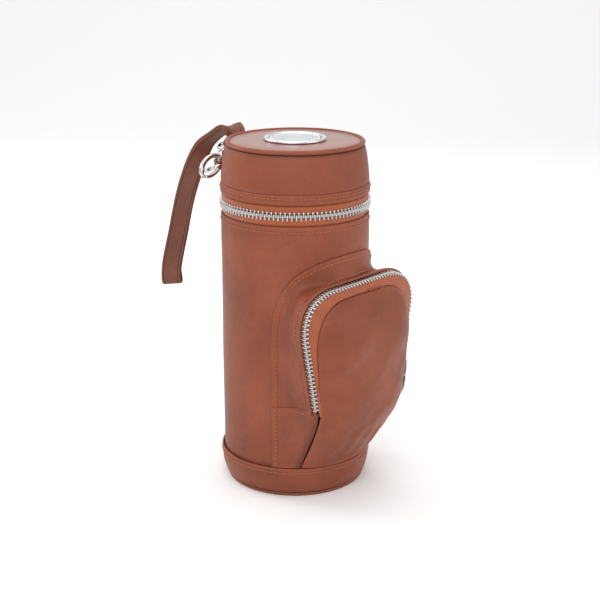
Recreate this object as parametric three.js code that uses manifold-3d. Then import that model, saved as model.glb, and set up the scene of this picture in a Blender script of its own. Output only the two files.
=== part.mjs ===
// A small upright leather case, shaped like a golf bag: a cylinder with a zip-around lid hinged at
// the back, a bellows pouch with its own zip on the front, and a wrist strap on a lobster clasp.
// Millimetres, +Z up. The origin is the centre of the underside. The pouch faces -Y, and the lid's
// hinge is at +Y. Angles round the case are in degrees from the front (-Y) towards the right (+X).
import * as THREE from "three";
import { mergeVertices } from "three/addons/utils/BufferGeometryUtils.js";
import Module from "manifold-3d";

const wasm = await Module();
wasm.setup();

// ---------- driving dimensions ----------
const gap = 0.3; // clearance between touching pieces
const leather = 1.3; // thickness of one ply
const lining = 0.9;

const bodyRadius = 44.7;
const boardRadius = 43.1; // outside of the stiffening tube
const boardThickness = 1.5;
const liningRadius = 41.3;
const bodyTop = 168.9; // the leather's upper edge, below the zip

const baseRadius = 42.8;
const baseThickness = 2.3;
const bandRadius = 46.4;
const bandTop = 19.6;

const zipHeight = 175.2; // the middle of the lid zip
const zipRadius = 45.4; // outside of its teeth
const chainGap = 1.0; // between its two rows of teeth, where the slider's post runs
const chainRow = 2.1; // height of one row
const zipEnd = 143; // the zip runs from -zipEnd to +zipEnd; the hinge strip fills the rest

const lidFoot = 181.5; // the lid's lower edge
const facingTop = 187.6;
const lidShoulder = 209.3;
const lidTop = 212.6;
const rimRadius = 41.9;
const rimWidth = 3.2;
const badgeRadius = 18.8;
const bezelWidth = 3.2;

const flangeHalf = 52.5; // half width of the pouch's flange, along the arc
const flangeTop = 149.7;
const flangeRadius = 46.0;
const seamHeight = 57; // the cross seam below the gusset
const pouchZipDepth = 51; // the pouch zip's plane, in front of the axis
const pouchZipTop = 133.9;
const pouchZipFoot = 60.8;
const frontEdgeDepth = 55; // where the front panel starts
const pouchDepth = 67.5; // the front panel at its fullest
const foldHeight = 60; // the front panel folds down about this line
const foldDepth = 65.6;
const sideFootAngle = 43; // where the front panel meets the band, each side

const eye = new THREE.Vector3(4.2, 56, 201.8); // middle of the swivel eye's bar
const claspDirection = new THREE.Vector3(-9, -1.2, -4).normalize();
const tabAngle = 164.5; // where the D-ring's tab is sewn on, on the strap's side (-X)
const ringHeight = 193;
const ringBarRadius = 48.2;
const strapWidth = 12.5;
const eyeBar = new THREE.Vector3(0, 1, 0).addScaledVector(claspDirection, -claspDirection.y).normalize();

// ---------- helpers ----------
const degrees = THREE.MathUtils.degToRad;
const lerp = THREE.MathUtils.lerp;

// A point at a radius and an angle from the front.
function around(radius, angle, z) {
  const a = degrees(angle);
  return new THREE.Vector3(radius * Math.sin(a), -radius * Math.cos(a), z);
}

// Joins shared vertices, drops triangles of no size, and turns the faces outwards.
function closed(geometry) {
  geometry.deleteAttribute("normal");
  geometry.deleteAttribute("uv");
  const merged = mergeVertices(geometry, 1e-4);
  const source = merged.index.array;
  const position = merged.attributes.position;
  const corner = [0, 1, 2].map(() => new THREE.Vector3());
  const kept = [];
  let volume = 0;
  for (let i = 0; i < source.length; i += 3) {
    const [a, b, c] = source.slice(i, i + 3);
    if (a === b || b === c || a === c) continue;
    kept.push(a, b, c);
    [a, b, c].forEach((v, k) => corner[k].fromBufferAttribute(position, v));
    volume += corner[0].dot(corner[1].cross(corner[2]));
  }
  if (volume < 0) kept.reverse();
  merged.setIndex(kept);
  return merged;
}

// A full ring or disc round Z from a closed profile of [radius, z] points.
function turned(profile, segments = 36) {
  const points = profile.map(([r, z]) => new THREE.Vector2(r, z));
  if (profile[0][0] > 0) points.push(points[0].clone());
  return closed(new THREE.LatheGeometry(points, segments).rotateX(Math.PI / 2));
}

// A closed sheet with thickness: at(u, v, side) gives its two faces, side 0 and side 1.
function sheet(at, uSteps, vSteps, loop = false) {
  const positions = [];
  const index = [];
  const rows = vSteps + 1;
  const columns = loop ? uSteps : uSteps + 1;
  for (const side of [0, 1])
    for (let i = 0; i < columns; i++)
      for (let j = 0; j < rows; j++) {
        const p = at(i / uSteps, j / vSteps, side);
        positions.push(p.x, p.y, p.z);
      }
  const id = (i, j, side) => (side * columns + (i % columns)) * rows + j;
  const quad = (a, b, c, d) => index.push(a, b, c, a, c, d);
  for (let i = 0; i < uSteps; i++) {
    for (let j = 0; j < vSteps; j++) {
      quad(id(i, j, 0), id(i + 1, j, 0), id(i + 1, j + 1, 0), id(i, j + 1, 0));
      quad(id(i, j, 1), id(i, j + 1, 1), id(i + 1, j + 1, 1), id(i + 1, j, 1));
    }
    quad(id(i, 0, 0), id(i, 0, 1), id(i + 1, 0, 1), id(i + 1, 0, 0));
    quad(id(i, vSteps, 0), id(i + 1, vSteps, 0), id(i + 1, vSteps, 1), id(i, vSteps, 1));
  }
  if (!loop)
    for (let j = 0; j < vSteps; j++) {
      quad(id(0, j, 0), id(0, j + 1, 0), id(0, j + 1, 1), id(0, j, 1));
      quad(id(uSteps, j, 0), id(uSteps, j, 1), id(uSteps, j + 1, 1), id(uSteps, j + 1, 0));
    }
  const geometry = new THREE.BufferGeometry();
  geometry.setAttribute("position", new THREE.Float32BufferAttribute(positions, 3));
  geometry.setIndex(index);
  return closed(geometry);
}

// A surface at(u, v) given a thickness, measured along its normal (negative goes the other way).
function thickened(at, uSteps, vSteps, thickness) {
  const step = 0.01;
  return sheet(
    (u, v, side) => {
      const p = at(u, v);
      if (side === 0) return p;
      const u0 = Math.max(u - step, 0);
      const v0 = Math.max(v - step, 0);
      const alongU = at(Math.min(u + step, 1), v).sub(at(u0, v));
      const alongV = at(u, Math.min(v + step, 1)).sub(at(u, v0));
      return p.add(alongU.cross(alongV).normalize().multiplyScalar(thickness));
    },
    uSteps,
    vSteps,
  );
}

// A band round part of the case; radiusAt and zAt take v from 0 (bottom) to 1 (top).
function arcBand(from, to, zAt, outerAt, thickness, vSteps = 1) {
  const steps = Math.ceil(Math.abs(to - from) / 10);
  return sheet(
    (u, v, side) => around(outerAt(v) - side * thickness, lerp(from, to, u), zAt(v)),
    steps,
    vSteps,
  );
}

// Picks from a list of values by v in 0..1, with straight lines between them.
function through(values) {
  return (v) => {
    const at = Math.min(v * (values.length - 1), values.length - 1 - 1e-9);
    const i = Math.floor(at);
    return lerp(values[i], values[i + 1], at - i);
  };
}

// A round wire along a curve.
function wire(curve, radius, steps, sides = 8) {
  const frames = curve.computeFrenetFrames(steps, true);
  return sheetOfRings(steps, sides, (i, angle) => {
    const p = curve.getPointAt(i / steps);
    return p
      .addScaledVector(frames.normals[i], radius * Math.cos(angle))
      .addScaledVector(frames.binormals[i], radius * Math.sin(angle));
  });
}

// A closed loop of rings, for a wire whose two ends meet.
function sheetOfRings(steps, sides, at) {
  const positions = [];
  const index = [];
  for (let i = 0; i < steps; i++)
    for (let j = 0; j < sides; j++) {
      const p = at(i, (2 * Math.PI * j) / sides);
      positions.push(p.x, p.y, p.z);
    }
  for (let i = 0; i < steps; i++)
    for (let j = 0; j < sides; j++) {
      const a = i * sides + j;
      const b = i * sides + ((j + 1) % sides);
      const c = ((i + 1) % steps) * sides + ((j + 1) % sides);
      const d = ((i + 1) % steps) * sides + j;
      index.push(a, b, c, a, c, d);
    }
  const geometry = new THREE.BufferGeometry();
  geometry.setAttribute("position", new THREE.Float32BufferAttribute(positions, 3));
  geometry.setIndex(index);
  return closed(geometry);
}

function toSolid(geometry) {
  const merged = closed(geometry.index ? geometry : mergeVertices(geometry));
  return new wasm.Manifold(
    new wasm.Mesh({
      numProp: 3,
      vertProperties: merged.attributes.position.array,
      triVerts: new Uint32Array(merged.index.array),
    }),
  );
}

function toGeometry(solid) {
  const mesh = solid.getMesh();
  const geometry = new THREE.BufferGeometry();
  geometry.setAttribute("position", new THREE.BufferAttribute(mesh.vertProperties, 3));
  geometry.setIndex(new THREE.BufferAttribute(mesh.triVerts, 1));
  return geometry;
}

function combine(joined, cut = []) {
  let solid = toSolid(joined[0]);
  for (const g of joined.slice(1)) solid = solid.add(toSolid(g));
  for (const g of cut) solid = solid.subtract(toSolid(g));
  return toGeometry(solid);
}

function box(width, depth, height, x, y, z) {
  return new THREE.BoxGeometry(width, depth, height).translate(x, y, z);
}

// A cylinder along X, from x0 to x1.
function rod(radius, x0, x1, y = 0, z = 0, sides = 14) {
  return new THREE.CylinderGeometry(radius, radius, x1 - x0, sides)
    .rotateZ(-Math.PI / 2)
    .translate((x0 + x1) / 2, y, z);
}

// A cylinder along Z, from z0 to z1.
function post(radius, z0, z1, x = 0, y = 0, sides = 12) {
  return new THREE.CylinderGeometry(radius, radius, z1 - z0, sides)
    .rotateX(Math.PI / 2)
    .translate(x, y, (z0 + z1) / 2);
}

// ---------- materials ----------
const material = (color, roughness, metalness = 0) =>
  new THREE.MeshStandardMaterial({ color, roughness, metalness });
const finishes = {
  leather: () => material(0x9b5b43, 0.55),
  tape: () => material(0xa9552f, 0.85),
  cloth: () => material(0x3b2b24, 0.95),
  board: () => material(0x8d7860, 0.9),
  metal: () => material(0xc9cbd0, 0.22, 1),
};

const model = new THREE.Group();

function part(name, geometry, finish, parent = model) {
  const mesh = new THREE.Mesh(geometry, finishes[finish]());
  mesh.name = name;
  parent.add(mesh);
  return mesh;
}

// ---------- case body ----------
function makeBase() {
  const edge = 1.2;
  part(
    "base_disc",
    turned([
      [0, 0],
      [baseRadius - edge, 0],
      [baseRadius - 0.3, 0.5],
      [baseRadius, edge],
      [baseRadius - 0.4, baseThickness],
      [0, baseThickness],
    ]),
    "leather",
  );
  part("base_board", turned([[0, 2.7], [40.3, 2.7], [40.3, 4.9], [0, 4.9]]), "board");
  part("base_lining", turned([[0, 5.2], [39.8, 5.2], [39.8, 6.1], [0, 6.1]]), "cloth");
  part(
    "base_band",
    turned([
      [43.3, 2.6],
      [44.9, 7],
      [46.0, 12],
      [bandRadius, bandTop],
      [bodyRadius + gap, bandTop],
      [bodyRadius + gap, 16],
      [44.7, 12],
      [43.7, 7],
      [42.3, 2.6],
    ]),
    "leather",
  );
}

// The leather tube narrows a little where the band covers its foot.
function makeBodyTubes() {
  part(
    "body_shell",
    turned([
      [41.9, 2.7],
      [43.4, 7],
      [44.4, 12],
      [bodyRadius, 16],
      [bodyRadius, bodyTop],
      [bodyRadius - leather, bodyTop],
      [bodyRadius - leather, 16],
      [43.1, 12],
      [42.1, 7],
      [40.6, 2.7],
    ]),
    "leather",
  );
  const tube = (name, radius, thickness, foot, top, finish) =>
    part(
      name,
      turned([
        [radius, foot],
        [radius, top],
        [radius - thickness, top],
        [radius - thickness, foot],
      ]),
      finish,
    );
  tube("body_stiffener", boardRadius, boardThickness, 12.8, 160.5, "board");
  tube("body_lining", liningRadius, lining, 6.5, bodyTop - gap, "cloth");
}

// ---------- the lid's zip and hinge ----------
// One side of the zip: its tape, sewn inside the leather and standing out at the teeth.
function zipTape(name, sewnEdge, leatherEdge, teethEdge, parent) {
  const turn = Math.sign(teethEdge - sewnEdge);
  part(
    name,
    arcBand(
      -zipEnd,
      zipEnd,
      through([sewnEdge, leatherEdge + 0.2 * turn, leatherEdge + 1.2 * turn, teethEdge]),
      through([43.1, 43.1, 44.2, 44.5]),
      0.8,
      3,
    ),
    "tape",
    parent,
  );
}

function zipRow(name, foot, parent) {
  part(
    name,
    arcBand(-zipEnd, zipEnd, through([foot, foot + chainRow]), () => zipRadius, 2),
    "metal",
    parent,
  );
}

function hingeStrip(name, foot, top, parent) {
  const start = zipEnd + 2.5;
  part(
    name,
    arcBand(start, 360 - start, through([foot, top]), () => bodyRadius + 0.2, leather),
    "leather",
    parent,
  );
}

function makeLowerZip() {
  const rowFoot = zipHeight - chainGap / 2 - chainRow;
  zipTape("lower_zip_tape", 161, bodyTop, rowFoot - gap, model);
  zipRow("lower_zip_chain", rowFoot, model);
  hingeStrip("lower_hinge_strip", bodyTop + gap, zipHeight - gap, model);
}

const plateThickness = 1.3;

// A slider: an outer plate and an inner plate joined by a thin post between the rows of teeth,
// with a bridge on the outer plate that the puller hangs from. X is along the zip, Y across it,
// and Z outwards, with the teeth's middle at the origin.
function sliderGeometry(outside, inside) {
  const length = 11;
  const width = 8.6;
  const plate = plateThickness;
  const outline = new THREE.Shape();
  outline.moveTo(-length / 2, -width / 2 + 1.6);
  outline.lineTo(-length / 2 + 2.5, -width / 2);
  outline.lineTo(length / 2, -width / 2 + 1);
  outline.lineTo(length / 2, width / 2 - 1);
  outline.lineTo(-length / 2 + 2.5, width / 2);
  outline.lineTo(-length / 2, width / 2 - 1.6);
  const slab = (z) =>
    new THREE.ExtrudeGeometry(outline, { depth: plate, bevelEnabled: false }).translate(0, 0, z);
  const bridge = outside + plate;
  return combine([
    slab(outside),
    slab(-inside - plate),
    box(3.6, 0.5, outside + inside + 1, 1.2, 0, (outside - inside) / 2),
    box(1.2, 1.8, 2.4, -3.4, 0, bridge + 1),
    box(1.2, 1.8, 2.4, 3.4, 0, bridge + 1),
    box(8, 1.8, 0.9, 0, 0, bridge + 2.3),
  ]);
}

// The puller: a flat tongue along -X whose crossbar passes under the bridge. Its own origin is the
// middle of the crossbar.
function pullerGeometry(length) {
  const thickness = 1;
  const half = 2.7;
  const bar = 0.45;
  const outline = new THREE.Shape();
  outline.moveTo(bar, half);
  outline.lineTo(-length + half, half);
  outline.absarc(-length + half, 0, half, Math.PI / 2, (3 * Math.PI) / 2, false);
  outline.lineTo(bar, -half);
  const hole = new THREE.Path();
  const slot = 1.4;
  hole.moveTo(-bar, slot);
  hole.lineTo(-5, slot);
  hole.lineTo(-5, -slot);
  hole.lineTo(-bar, -slot);
  outline.holes.push(hole);
  return new THREE.ExtrudeGeometry(outline, {
    depth: thickness,
    bevelEnabled: false,
    curveSegments: 8,
  }).translate(0, 0, -thickness / 2);
}

// Puts a slider and its puller on a zip: X along the zip (the puller lies along -X), Z outwards.
function placeSlider(name, centre, along, outward, clearOut, clearIn, pullerLength) {
  const place = new THREE.Group();
  place.position.copy(centre);
  const across = new THREE.Vector3().crossVectors(outward, along);
  place.setRotationFromMatrix(new THREE.Matrix4().makeBasis(along, across, outward));
  model.add(place);
  part(name + "_slider", closed(sliderGeometry(clearOut, clearIn)), "metal", place);
  const hang = new THREE.Group();
  hang.position.z = clearOut + plateThickness + 1.05;
  place.add(hang);
  part(name + "_puller", closed(pullerGeometry(pullerLength)), "metal", hang);
}

const mainSliderAngle = 137; // parked at the closed end, by the hinge

function makeMainSlider() {
  const middle = zipRadius - 1; // between the faces of the teeth
  const outward = around(1, mainSliderAngle, 0);
  const towardsFront = new THREE.Vector3(outward.y, -outward.x, 0);
  const centre = around(middle, mainSliderAngle, zipHeight);
  placeSlider("main", centre, towardsFront, outward, 2.2, 2.4, 17);
}

// ---------- lid ----------
const lidWallOuter = [
  [44.5, facingTop + gap],
  [44.0, 193.5],
  [43.4, 199],
  [42.6, 204.5],
  [41.6, lidShoulder],
];

function lidWallProfile(inset, thickness, foot, top) {
  const points = lidWallOuter.map(([r, z]) => [r - inset, z]);
  points[0][1] = foot;
  points[points.length - 1][1] = top;
  const back = points.map(([r, z]) => [r - thickness, z]).reverse();
  return [...points, ...back];
}

function makeLid() {
  part("lid_wall", turned(lidWallProfile(0, leather, facingTop + gap, lidShoulder)), "leather");
  part(
    "lid_zip_facing",
    turned([
      [43.5, lidFoot],
      [45.1, lidFoot],
      [45.1, lidFoot + 1],
      [44.9, facingTop],
      [43.5, facingTop],
    ]),
    "leather",
  );
  part("lid_stiffener", turned(lidWallProfile(leather + gap, 1.2, 191, 206)), "board");
  part("lid_lining", turned(lidWallProfile(leather + gap + 1.5, lining, 182, 206)), "cloth");
  part("lid_board", turned([[0, 206.3], [39.6, 206.3], [39.6, 209.5], [0, 209.5]]), "board");
  part(
    "lid_top_panel",
    turned([[0, 209.9], [38.4, 209.9], [38.4, 211.9], [0, 211.9]]),
    "leather",
  );
  const rimInner = rimRadius - rimWidth;
  part(
    "lid_rim",
    turned([
      [rimInner, 209.9],
      [rimRadius - 0.6, 209.9],
      [rimRadius, 210.8],
      [rimRadius, 211.7],
      [rimRadius - 0.7, 212.4],
      [rimRadius - 1.7, lidTop],
      [rimInner, 212.1],
    ]),
    "leather",
  );
  const bezelInner = badgeRadius - bezelWidth;
  part(
    "badge_bezel",
    turned([
      [bezelInner, 212.2],
      [badgeRadius, 212.2],
      [badgeRadius, 213.3],
      [badgeRadius - 0.5, 213.9],
      [bezelInner + 0.4, 213.9],
      [bezelInner, 213.5],
    ]),
    "metal",
  );
  part("badge_plate", turned([[0, 212.2], [15.3, 212.2], [15.3, 213.2], [0, 213.2]]), "metal");
}

function makeUpperZip() {
  const rowFoot = zipHeight + chainGap / 2;
  zipTape("upper_zip_tape", 187.2, lidFoot, rowFoot + chainRow + gap, model);
  zipRow("upper_zip_chain", rowFoot, model);
  hingeStrip("upper_hinge_strip", zipHeight + gap, lidFoot - gap, model);
}

// ---------- pouch ----------
// The flange's outline, in arc length round the case and height, from its left foot to its right.
function flangeOutline() {
  const path = new THREE.CurvePath();
  const v = (x, y) => new THREE.Vector2(x, y);
  const half = flangeHalf;
  const shoulder = 100;
  path.add(new THREE.LineCurve(v(-half, seamHeight), v(-half, shoulder)));
  path.add(
    new THREE.CubicBezierCurve(
      v(-half, shoulder),
      v(-half, 136),
      v(-34, flangeTop),
      v(0, flangeTop),
    ),
  );
  path.add(
    new THREE.CubicBezierCurve(v(0, flangeTop), v(34, flangeTop), v(half, 136), v(half, shoulder)),
  );
  path.add(new THREE.LineCurve(v(half, shoulder), v(half, seamHeight)));
  return path;
}

// An arch in x and z: leaning legs, rounded corners and a straight top.
function archPath(footHalf, footZ, legHalf, legZ, topHalf, topZ, bulge) {
  const path = new THREE.CurvePath();
  const v = (x, y) => new THREE.Vector2(x, y);
  const lift = (topZ - legZ) * 0.62;
  for (const s of [-1, 1]) {
    const leg = [v(s * footHalf, footZ), v(s * legHalf, legZ)];
    const corner = [
      v(s * legHalf, legZ),
      v(s * (legHalf + bulge), legZ + lift),
      v(s * lerp(topHalf, legHalf, 0.75), topZ),
      v(s * topHalf, topZ),
    ];
    if (s < 0) {
      path.add(new THREE.LineCurve(...leg));
      path.add(new THREE.CubicBezierCurve(...corner));
      path.add(new THREE.LineCurve(v(-topHalf, topZ), v(topHalf, topZ)));
    } else {
      path.add(new THREE.CubicBezierCurve(...corner.reverse()));
      path.add(new THREE.LineCurve(...leg.reverse()));
    }
  }
  return path;
}

const flangePath = flangeOutline();
const zipPath = archPath(38.7, pouchZipFoot, 48.6, 108, 22, pouchZipTop, 2.4);
const frontPath = archPath(38.9, pouchZipFoot, 43, 100, 15, 129.3, 1.2);

const onFlange = (s, z) => around(flangeRadius, THREE.MathUtils.radToDeg(s / flangeRadius), z);

// Keeps a pouch surface outside the cylinder.
function outside(p, radius = flangeRadius) {
  const r = Math.hypot(p.x, p.y);
  if (r < radius) {
    p.x *= radius / r;
    p.y *= radius / r;
  }
  return p;
}

function bezier(p0, p1, p2, p3, t) {
  return new THREE.CubicBezierCurve3(p0, p1, p2, p3).getPoint(t);
}

// The pouch zip's ribbon: across is the distance over the zip (negative towards the case), and
// height stands out from it.
function onZip(u, across, height) {
  const p = zipPath.getPointAt(u);
  const t = zipPath.getTangentAt(u);
  const inset = 0.02 * (across + 5) ** 2;
  const lift = height - inset;
  return new THREE.Vector3(p.x - t.y * lift, -pouchZipDepth - across * 0.97, p.y + t.x * lift);
}

// Leather from the stitched flange on the case out to the pouch zip.
function gussetAt(u, v) {
  const o = flangePath.getPointAt(u);
  const rise = THREE.MathUtils.smoothstep(o.y, seamHeight, 105);
  const inward = new THREE.Vector2(0, lerp(o.y + 5, 95, rise)).sub(o).normalize().multiplyScalar(11);
  const p3 = onZip(u, -4.3, 0);
  const p2Height = lerp(lerp(o.y, p3.z, 0.8), p3.z * 0.995 + 0.6, rise);
  const p2 = outside(new THREE.Vector3(p3.x * 0.965, -36, p2Height), flangeRadius + 0.6);
  return outside(bezier(onFlange(o.x, o.y), onFlange(o.x + inward.x, o.y + inward.y), p2, p3, v));
}

function zipPiece(name, from, to, low, high, finish, uSteps = 30) {
  part(
    name,
    sheet((u, v, side) => onZip(u, lerp(from, to, v), side ? low : high), uSteps, 1),
    finish,
  );
}

// The side edge of the pouch's front below the fold, t from 0 at the fold to 1 at the band.
function lowerEdge(t) {
  const foot = around(flangeRadius, sideFootAngle, bandTop + 0.6);
  return new THREE.Vector3(
    lerp(38.9, foot.x, t),
    lerp(-frontEdgeDepth, foot.y, t ** 1.15),
    lerp(foldHeight - 0.4, foot.z, t),
  );
}

// The pouch's side below the cross seam, from the flange's foot to the front panel.
function sidePanelAt(s, u, v) {
  const edge = lowerEdge(v);
  const flangeZ = lerp(seamHeight - 0.5, bandTop + 0.6, v);
  const p0 = onFlange(s * flangeHalf, flangeZ);
  const p1 = onFlange(s * (flangeHalf - 11), lerp(flangeZ, edge.z, 0.3));
  const p3 = new THREE.Vector3(s * (edge.x + 0.5), edge.y + 0.2, edge.z);
  const drawn = lerp(-39, p3.y + 6, v);
  const p2 = new THREE.Vector3(s * lerp(42, edge.x + 2, v), drawn, lerp(flangeZ, edge.z, 0.8));
  return outside(bezier(p0, p1, outside(p2), p3, u));
}

// How far the front panel stands in front of the axis, at its middle.
function frontDepth(z) {
  const fullest = 92;
  if (z >= fullest) {
    const t = (z - fullest) / (129.6 - fullest);
    return frontEdgeDepth + (pouchDepth - frontEdgeDepth) * Math.max(1 - t ** 2.6, 0) ** 0.6;
  }
  if (z >= foldHeight) return lerp(foldDepth, pouchDepth, Math.sqrt((z - foldHeight) / 32));
  const t = THREE.MathUtils.clamp((foldHeight - z) / 38, 0, 1);
  return lerp(foldDepth, flangeRadius + 0.2, t ** 1.5);
}

// A row of the front panel from its left edge to its right, x from -1 to 1.
function frontRow(edge, x, power) {
  const middle = frontDepth(edge.z);
  const depth = lerp(-edge.y, middle, (1 - Math.abs(x) ** power) ** 0.8);
  return outside(new THREE.Vector3(edge.x * x, -depth, edge.z));
}

function frontUpperAt(u, v) {
  const along = frontPath.getPointAt(1 - v / 2);
  const limit = 15; // the last row is the straight top edge
  const edge = new THREE.Vector3(Math.max(along.x, limit), -frontEdgeDepth, along.y);
  return frontRow(edge, 2 * u - 1, 2.6);
}

function makePouch() {
  part("pouch_gusset", thickened(gussetAt, 32, 5, 1), "leather");
  zipPiece("pouch_zip_welt", -4.2, -2.8, 0.5, 1.6, "leather");
  zipPiece("pouch_rear_tape", -4.0, -2.8, -0.9, 0, "tape");
  zipPiece("pouch_rear_chain", -2.5, -0.5, -1.1, 1.1, "metal");
  for (const [s, side] of [
    [-1, "left"],
    [1, "right"],
  ]) {
    const at = (u, v) => sidePanelAt(s, u, v);
    part("pouch_side_" + side, thickened(at, 6, 6, -s * 0.9), "leather");
  }
  const lowerAt = (u, v) => frontRow(lowerEdge(v), 2 * u - 1, lerp(2.6, 2, v));
  part("pouch_front_lower", thickened(lowerAt, 14, 6, 0.9), "leather");
}

function makePouchFront() {
  part("pouch_front_upper", thickened(frontUpperAt, 14, 10, -leather), "leather");
  zipPiece("pouch_front_chain", 0.5, 2.5, -1.1, 1.1, "metal");
  const tapeAt = (u, v, side) => {
    const near = onZip(u, 2.8, side ? -0.7 : 0);
    const f = frontPath.getPointAt(u);
    const t = frontPath.getTangentAt(u);
    const lift = side ? -0.1 : 0.6;
    const far = new THREE.Vector3(f.x - t.y * lift, -frontEdgeDepth + 0.5, f.y + t.x * lift);
    return near.lerp(far, v);
  };
  part("pouch_front_tape", sheet(tapeAt, 30, 1), "tape");
}

// The pouch's slider is parked at the foot of the right leg, and runs up it.
const pouchSliderStart = 9;

function makePouchSlider() {
  const u = 1 - pouchSliderStart / zipPath.getLength();
  const centre = onZip(u, 0, 0);
  const up = onZip(u - 0.02, 0, 0).sub(centre).normalize();
  const across = onZip(u, 1, 0).sub(onZip(u, -1, 0)).normalize();
  const outward = new THREE.Vector3().crossVectors(up, across).normalize();
  placeSlider("pouch", centre, up, outward, 1.9, 2.9, 15);
}

// ---------- D-ring, clasp and strap ----------
function makeTab() {
  const half = 5;
  const radius = 44.3;
  const loopRadius = 2.3; // inside the fold that holds the ring's bar
  const angle = -tabAngle;
  const out = around(1, angle, 0);
  const up = new THREE.Vector3(0, 0, 1);
  const along = new THREE.Vector3(-out.y, out.x, 0);
  const centre = ringBarRadius - radius;
  // the strip's middle line, as distance outwards and height from the bar
  const turns = [];
  for (let i = 0; i <= 10; i++) {
    const a = -Math.PI * 0.5 + (Math.PI * 1.0 * i) / 10;
    turns.push([centre + loopRadius * Math.cos(a), loopRadius * Math.sin(a)]);
  }
  const line = [[1.2, -9], [1.2, -4.6], ...turns, [2.6, 4.6], [2.6, 9]];
  const at = (u, v, side) => {
    const k = Math.round(u * (line.length - 1));
    const a = line[Math.max(k - 1, 0)];
    const b = line[Math.min(k + 1, line.length - 1)];
    const n = new THREE.Vector2(b[1] - a[1], a[0] - b[0]).normalize().multiplyScalar(0.5);
    const s = side ? -1 : 1;
    const p = out.clone().multiplyScalar(radius + line[k][0] + n.x * s);
    return p
      .addScaledVector(up, ringHeight + line[k][1] + n.y * s)
      .addScaledVector(along, (v - 0.5) * 2 * half);
  };
  part("ring_tab", sheet(at, line.length - 1, 1), "leather");
}

// Rounded D: a straight bar in the tab and a bow that stands out from the lid.
function makeRing() {
  const out = around(1, -tabAngle, 0);
  const drop = new THREE.Vector3(0, 0, -1);
  const reach = out.clone().multiplyScalar(0.93).addScaledVector(drop, 0.36).normalize();
  const along = new THREE.Vector3(-out.y, out.x, 0);
  const middle = around(ringBarRadius, -tabAngle, ringHeight);
  const outline = [
    [-6.2, 0],
    [0, 0],
    [6.2, 0],
    [8, 1.4],
    [8.2, 6],
    [6.8, 10.6],
    [0, 14],
    [-6.8, 10.6],
    [-8.2, 6],
    [-8, 1.4],
  ].map(([a, r]) => middle.clone().addScaledVector(along, a).addScaledVector(reach, r));
  const curve = new THREE.CatmullRomCurve3(outline, true, "centripetal");
  part("d_ring", wire(curve, 1.15, 22, 6), "metal");
}

const claspFrame = new THREE.Group();

// The clasp's own axes: X from the swivel eye's bar towards the hook, Z through its flat side.
function makeClasp() {
  const x = claspDirection.clone();
  const across = new THREE.Vector3(0, -1, 0.25);
  const z = across.addScaledVector(x, -across.dot(x)).normalize();
  const y = new THREE.Vector3().crossVectors(z, x);
  claspFrame.position.copy(eye);
  claspFrame.setRotationFromMatrix(new THREE.Matrix4().makeBasis(x, y, z));
  model.add(claspFrame);

  const thickness = 3.4;
  const centre = 25;
  const long = 10.5;
  const wide = 6.6;
  const hook = 3; // width of the hook's metal
  const oval = (grow, from, to, steps) => {
    const points = [];
    for (let i = 0; i <= steps; i++) {
      const a = lerp(from, to, i / steps);
      points.push(
        new THREE.Vector2(centre + (long + grow) * Math.cos(a), (wide + grow) * Math.sin(a)),
      );
    }
    return points;
  };
  const bow = (from, to, outer, inner, depth, steps) => {
    const shape = new THREE.Shape([...oval(outer, from, to, steps), ...oval(inner, to, from, steps)]);
    const geometry = new THREE.ExtrudeGeometry(shape, { depth, bevelEnabled: false });
    return geometry.translate(0, 0, -depth / 2);
  };
  const pivot = new THREE.Vector2(centre + (long - 1.3) * Math.cos(2.45), (wide - 1.3) * Math.sin(2.45));
  // the gate's tip swings inwards through a notch behind the nose
  const notch = new THREE.Shape();
  notch.absarc(pivot.x, pivot.y, 16.6, degrees(-17), degrees(12), false);
  notch.absarc(pivot.x, pivot.y, 12.5, degrees(12), degrees(-17), true);
  const notchCut = new THREE.ExtrudeGeometry(notch, { depth: 5, bevelEnabled: false, curveSegments: 8 });
  notchCut.translate(0, 0, -2.5);
  // the body runs from the nose, round the far side, to the barrel
  const body = combine(
    [
      bow(0.42, -3.5, 0, -hook, thickness, 18),
      rod(3.1, 9.4, 15.4),
      post(2.3, -2.7, -1.8, pivot.x, pivot.y),
      post(2.3, 1.8, 2.7, pivot.x, pivot.y),
      box(4.6, 3.6, 0.9, pivot.x - 1, pivot.y - 2.4, -2.25),
      box(4.6, 3.6, 0.9, pivot.x - 1, pivot.y - 2.4, 2.25),
    ],
    [
      rod(1.45, 7, 18),
      rod(2.3, 14.6, 18.5),
      post(0.9, -4, 4, pivot.x, pivot.y),
      post(2.7, -1.8, 1.8, pivot.x, pivot.y),
      notchCut,
    ],
  );
  part("clasp_body", body, "metal", claspFrame);
  part("gate_pin", post(0.6, -2.7, 2.7, pivot.x, pivot.y), "metal", claspFrame);
  const gate = combine(
    [bow(0.5, 2.45, -0.2, -hook + 0.6, 2.8, 9), post(2.2, -1.4, 1.4, pivot.x, pivot.y)],
    [post(0.9, -4, 4, pivot.x, pivot.y)],
  );
  part("clasp_gate", gate, "metal", claspFrame);

  // the eye's bar lies along the strap's width, square to the clasp
  const half = strapWidth / 2 + 2.7;
  const local = new THREE.Vector3(eyeBar.dot(x), eyeBar.dot(y), eyeBar.dot(z));
  const loop = [
    [0, -half + 1.5],
    [0, 0],
    [0, half - 1.5],
    [1, half],
    [4.2, half - 0.6],
    [5.6, half - 4],
    [5.8, 0],
    [5.6, -half + 4],
    [4.2, -half + 0.6],
    [1, -half],
  ].map(([a, b]) => new THREE.Vector3(a, 0, 0).addScaledVector(local, b));
  const curve = new THREE.CatmullRomCurve3(loop, true, "centripetal");
  const swivel = combine([wire(curve, 1.1, 20, 6), rod(1.1, 5.4, 16, 0, 0, 10), rod(2, 15, 16.2, 0, 0, 12)]);
  part("swivel_eye", swivel, "metal", claspFrame);
}

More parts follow.
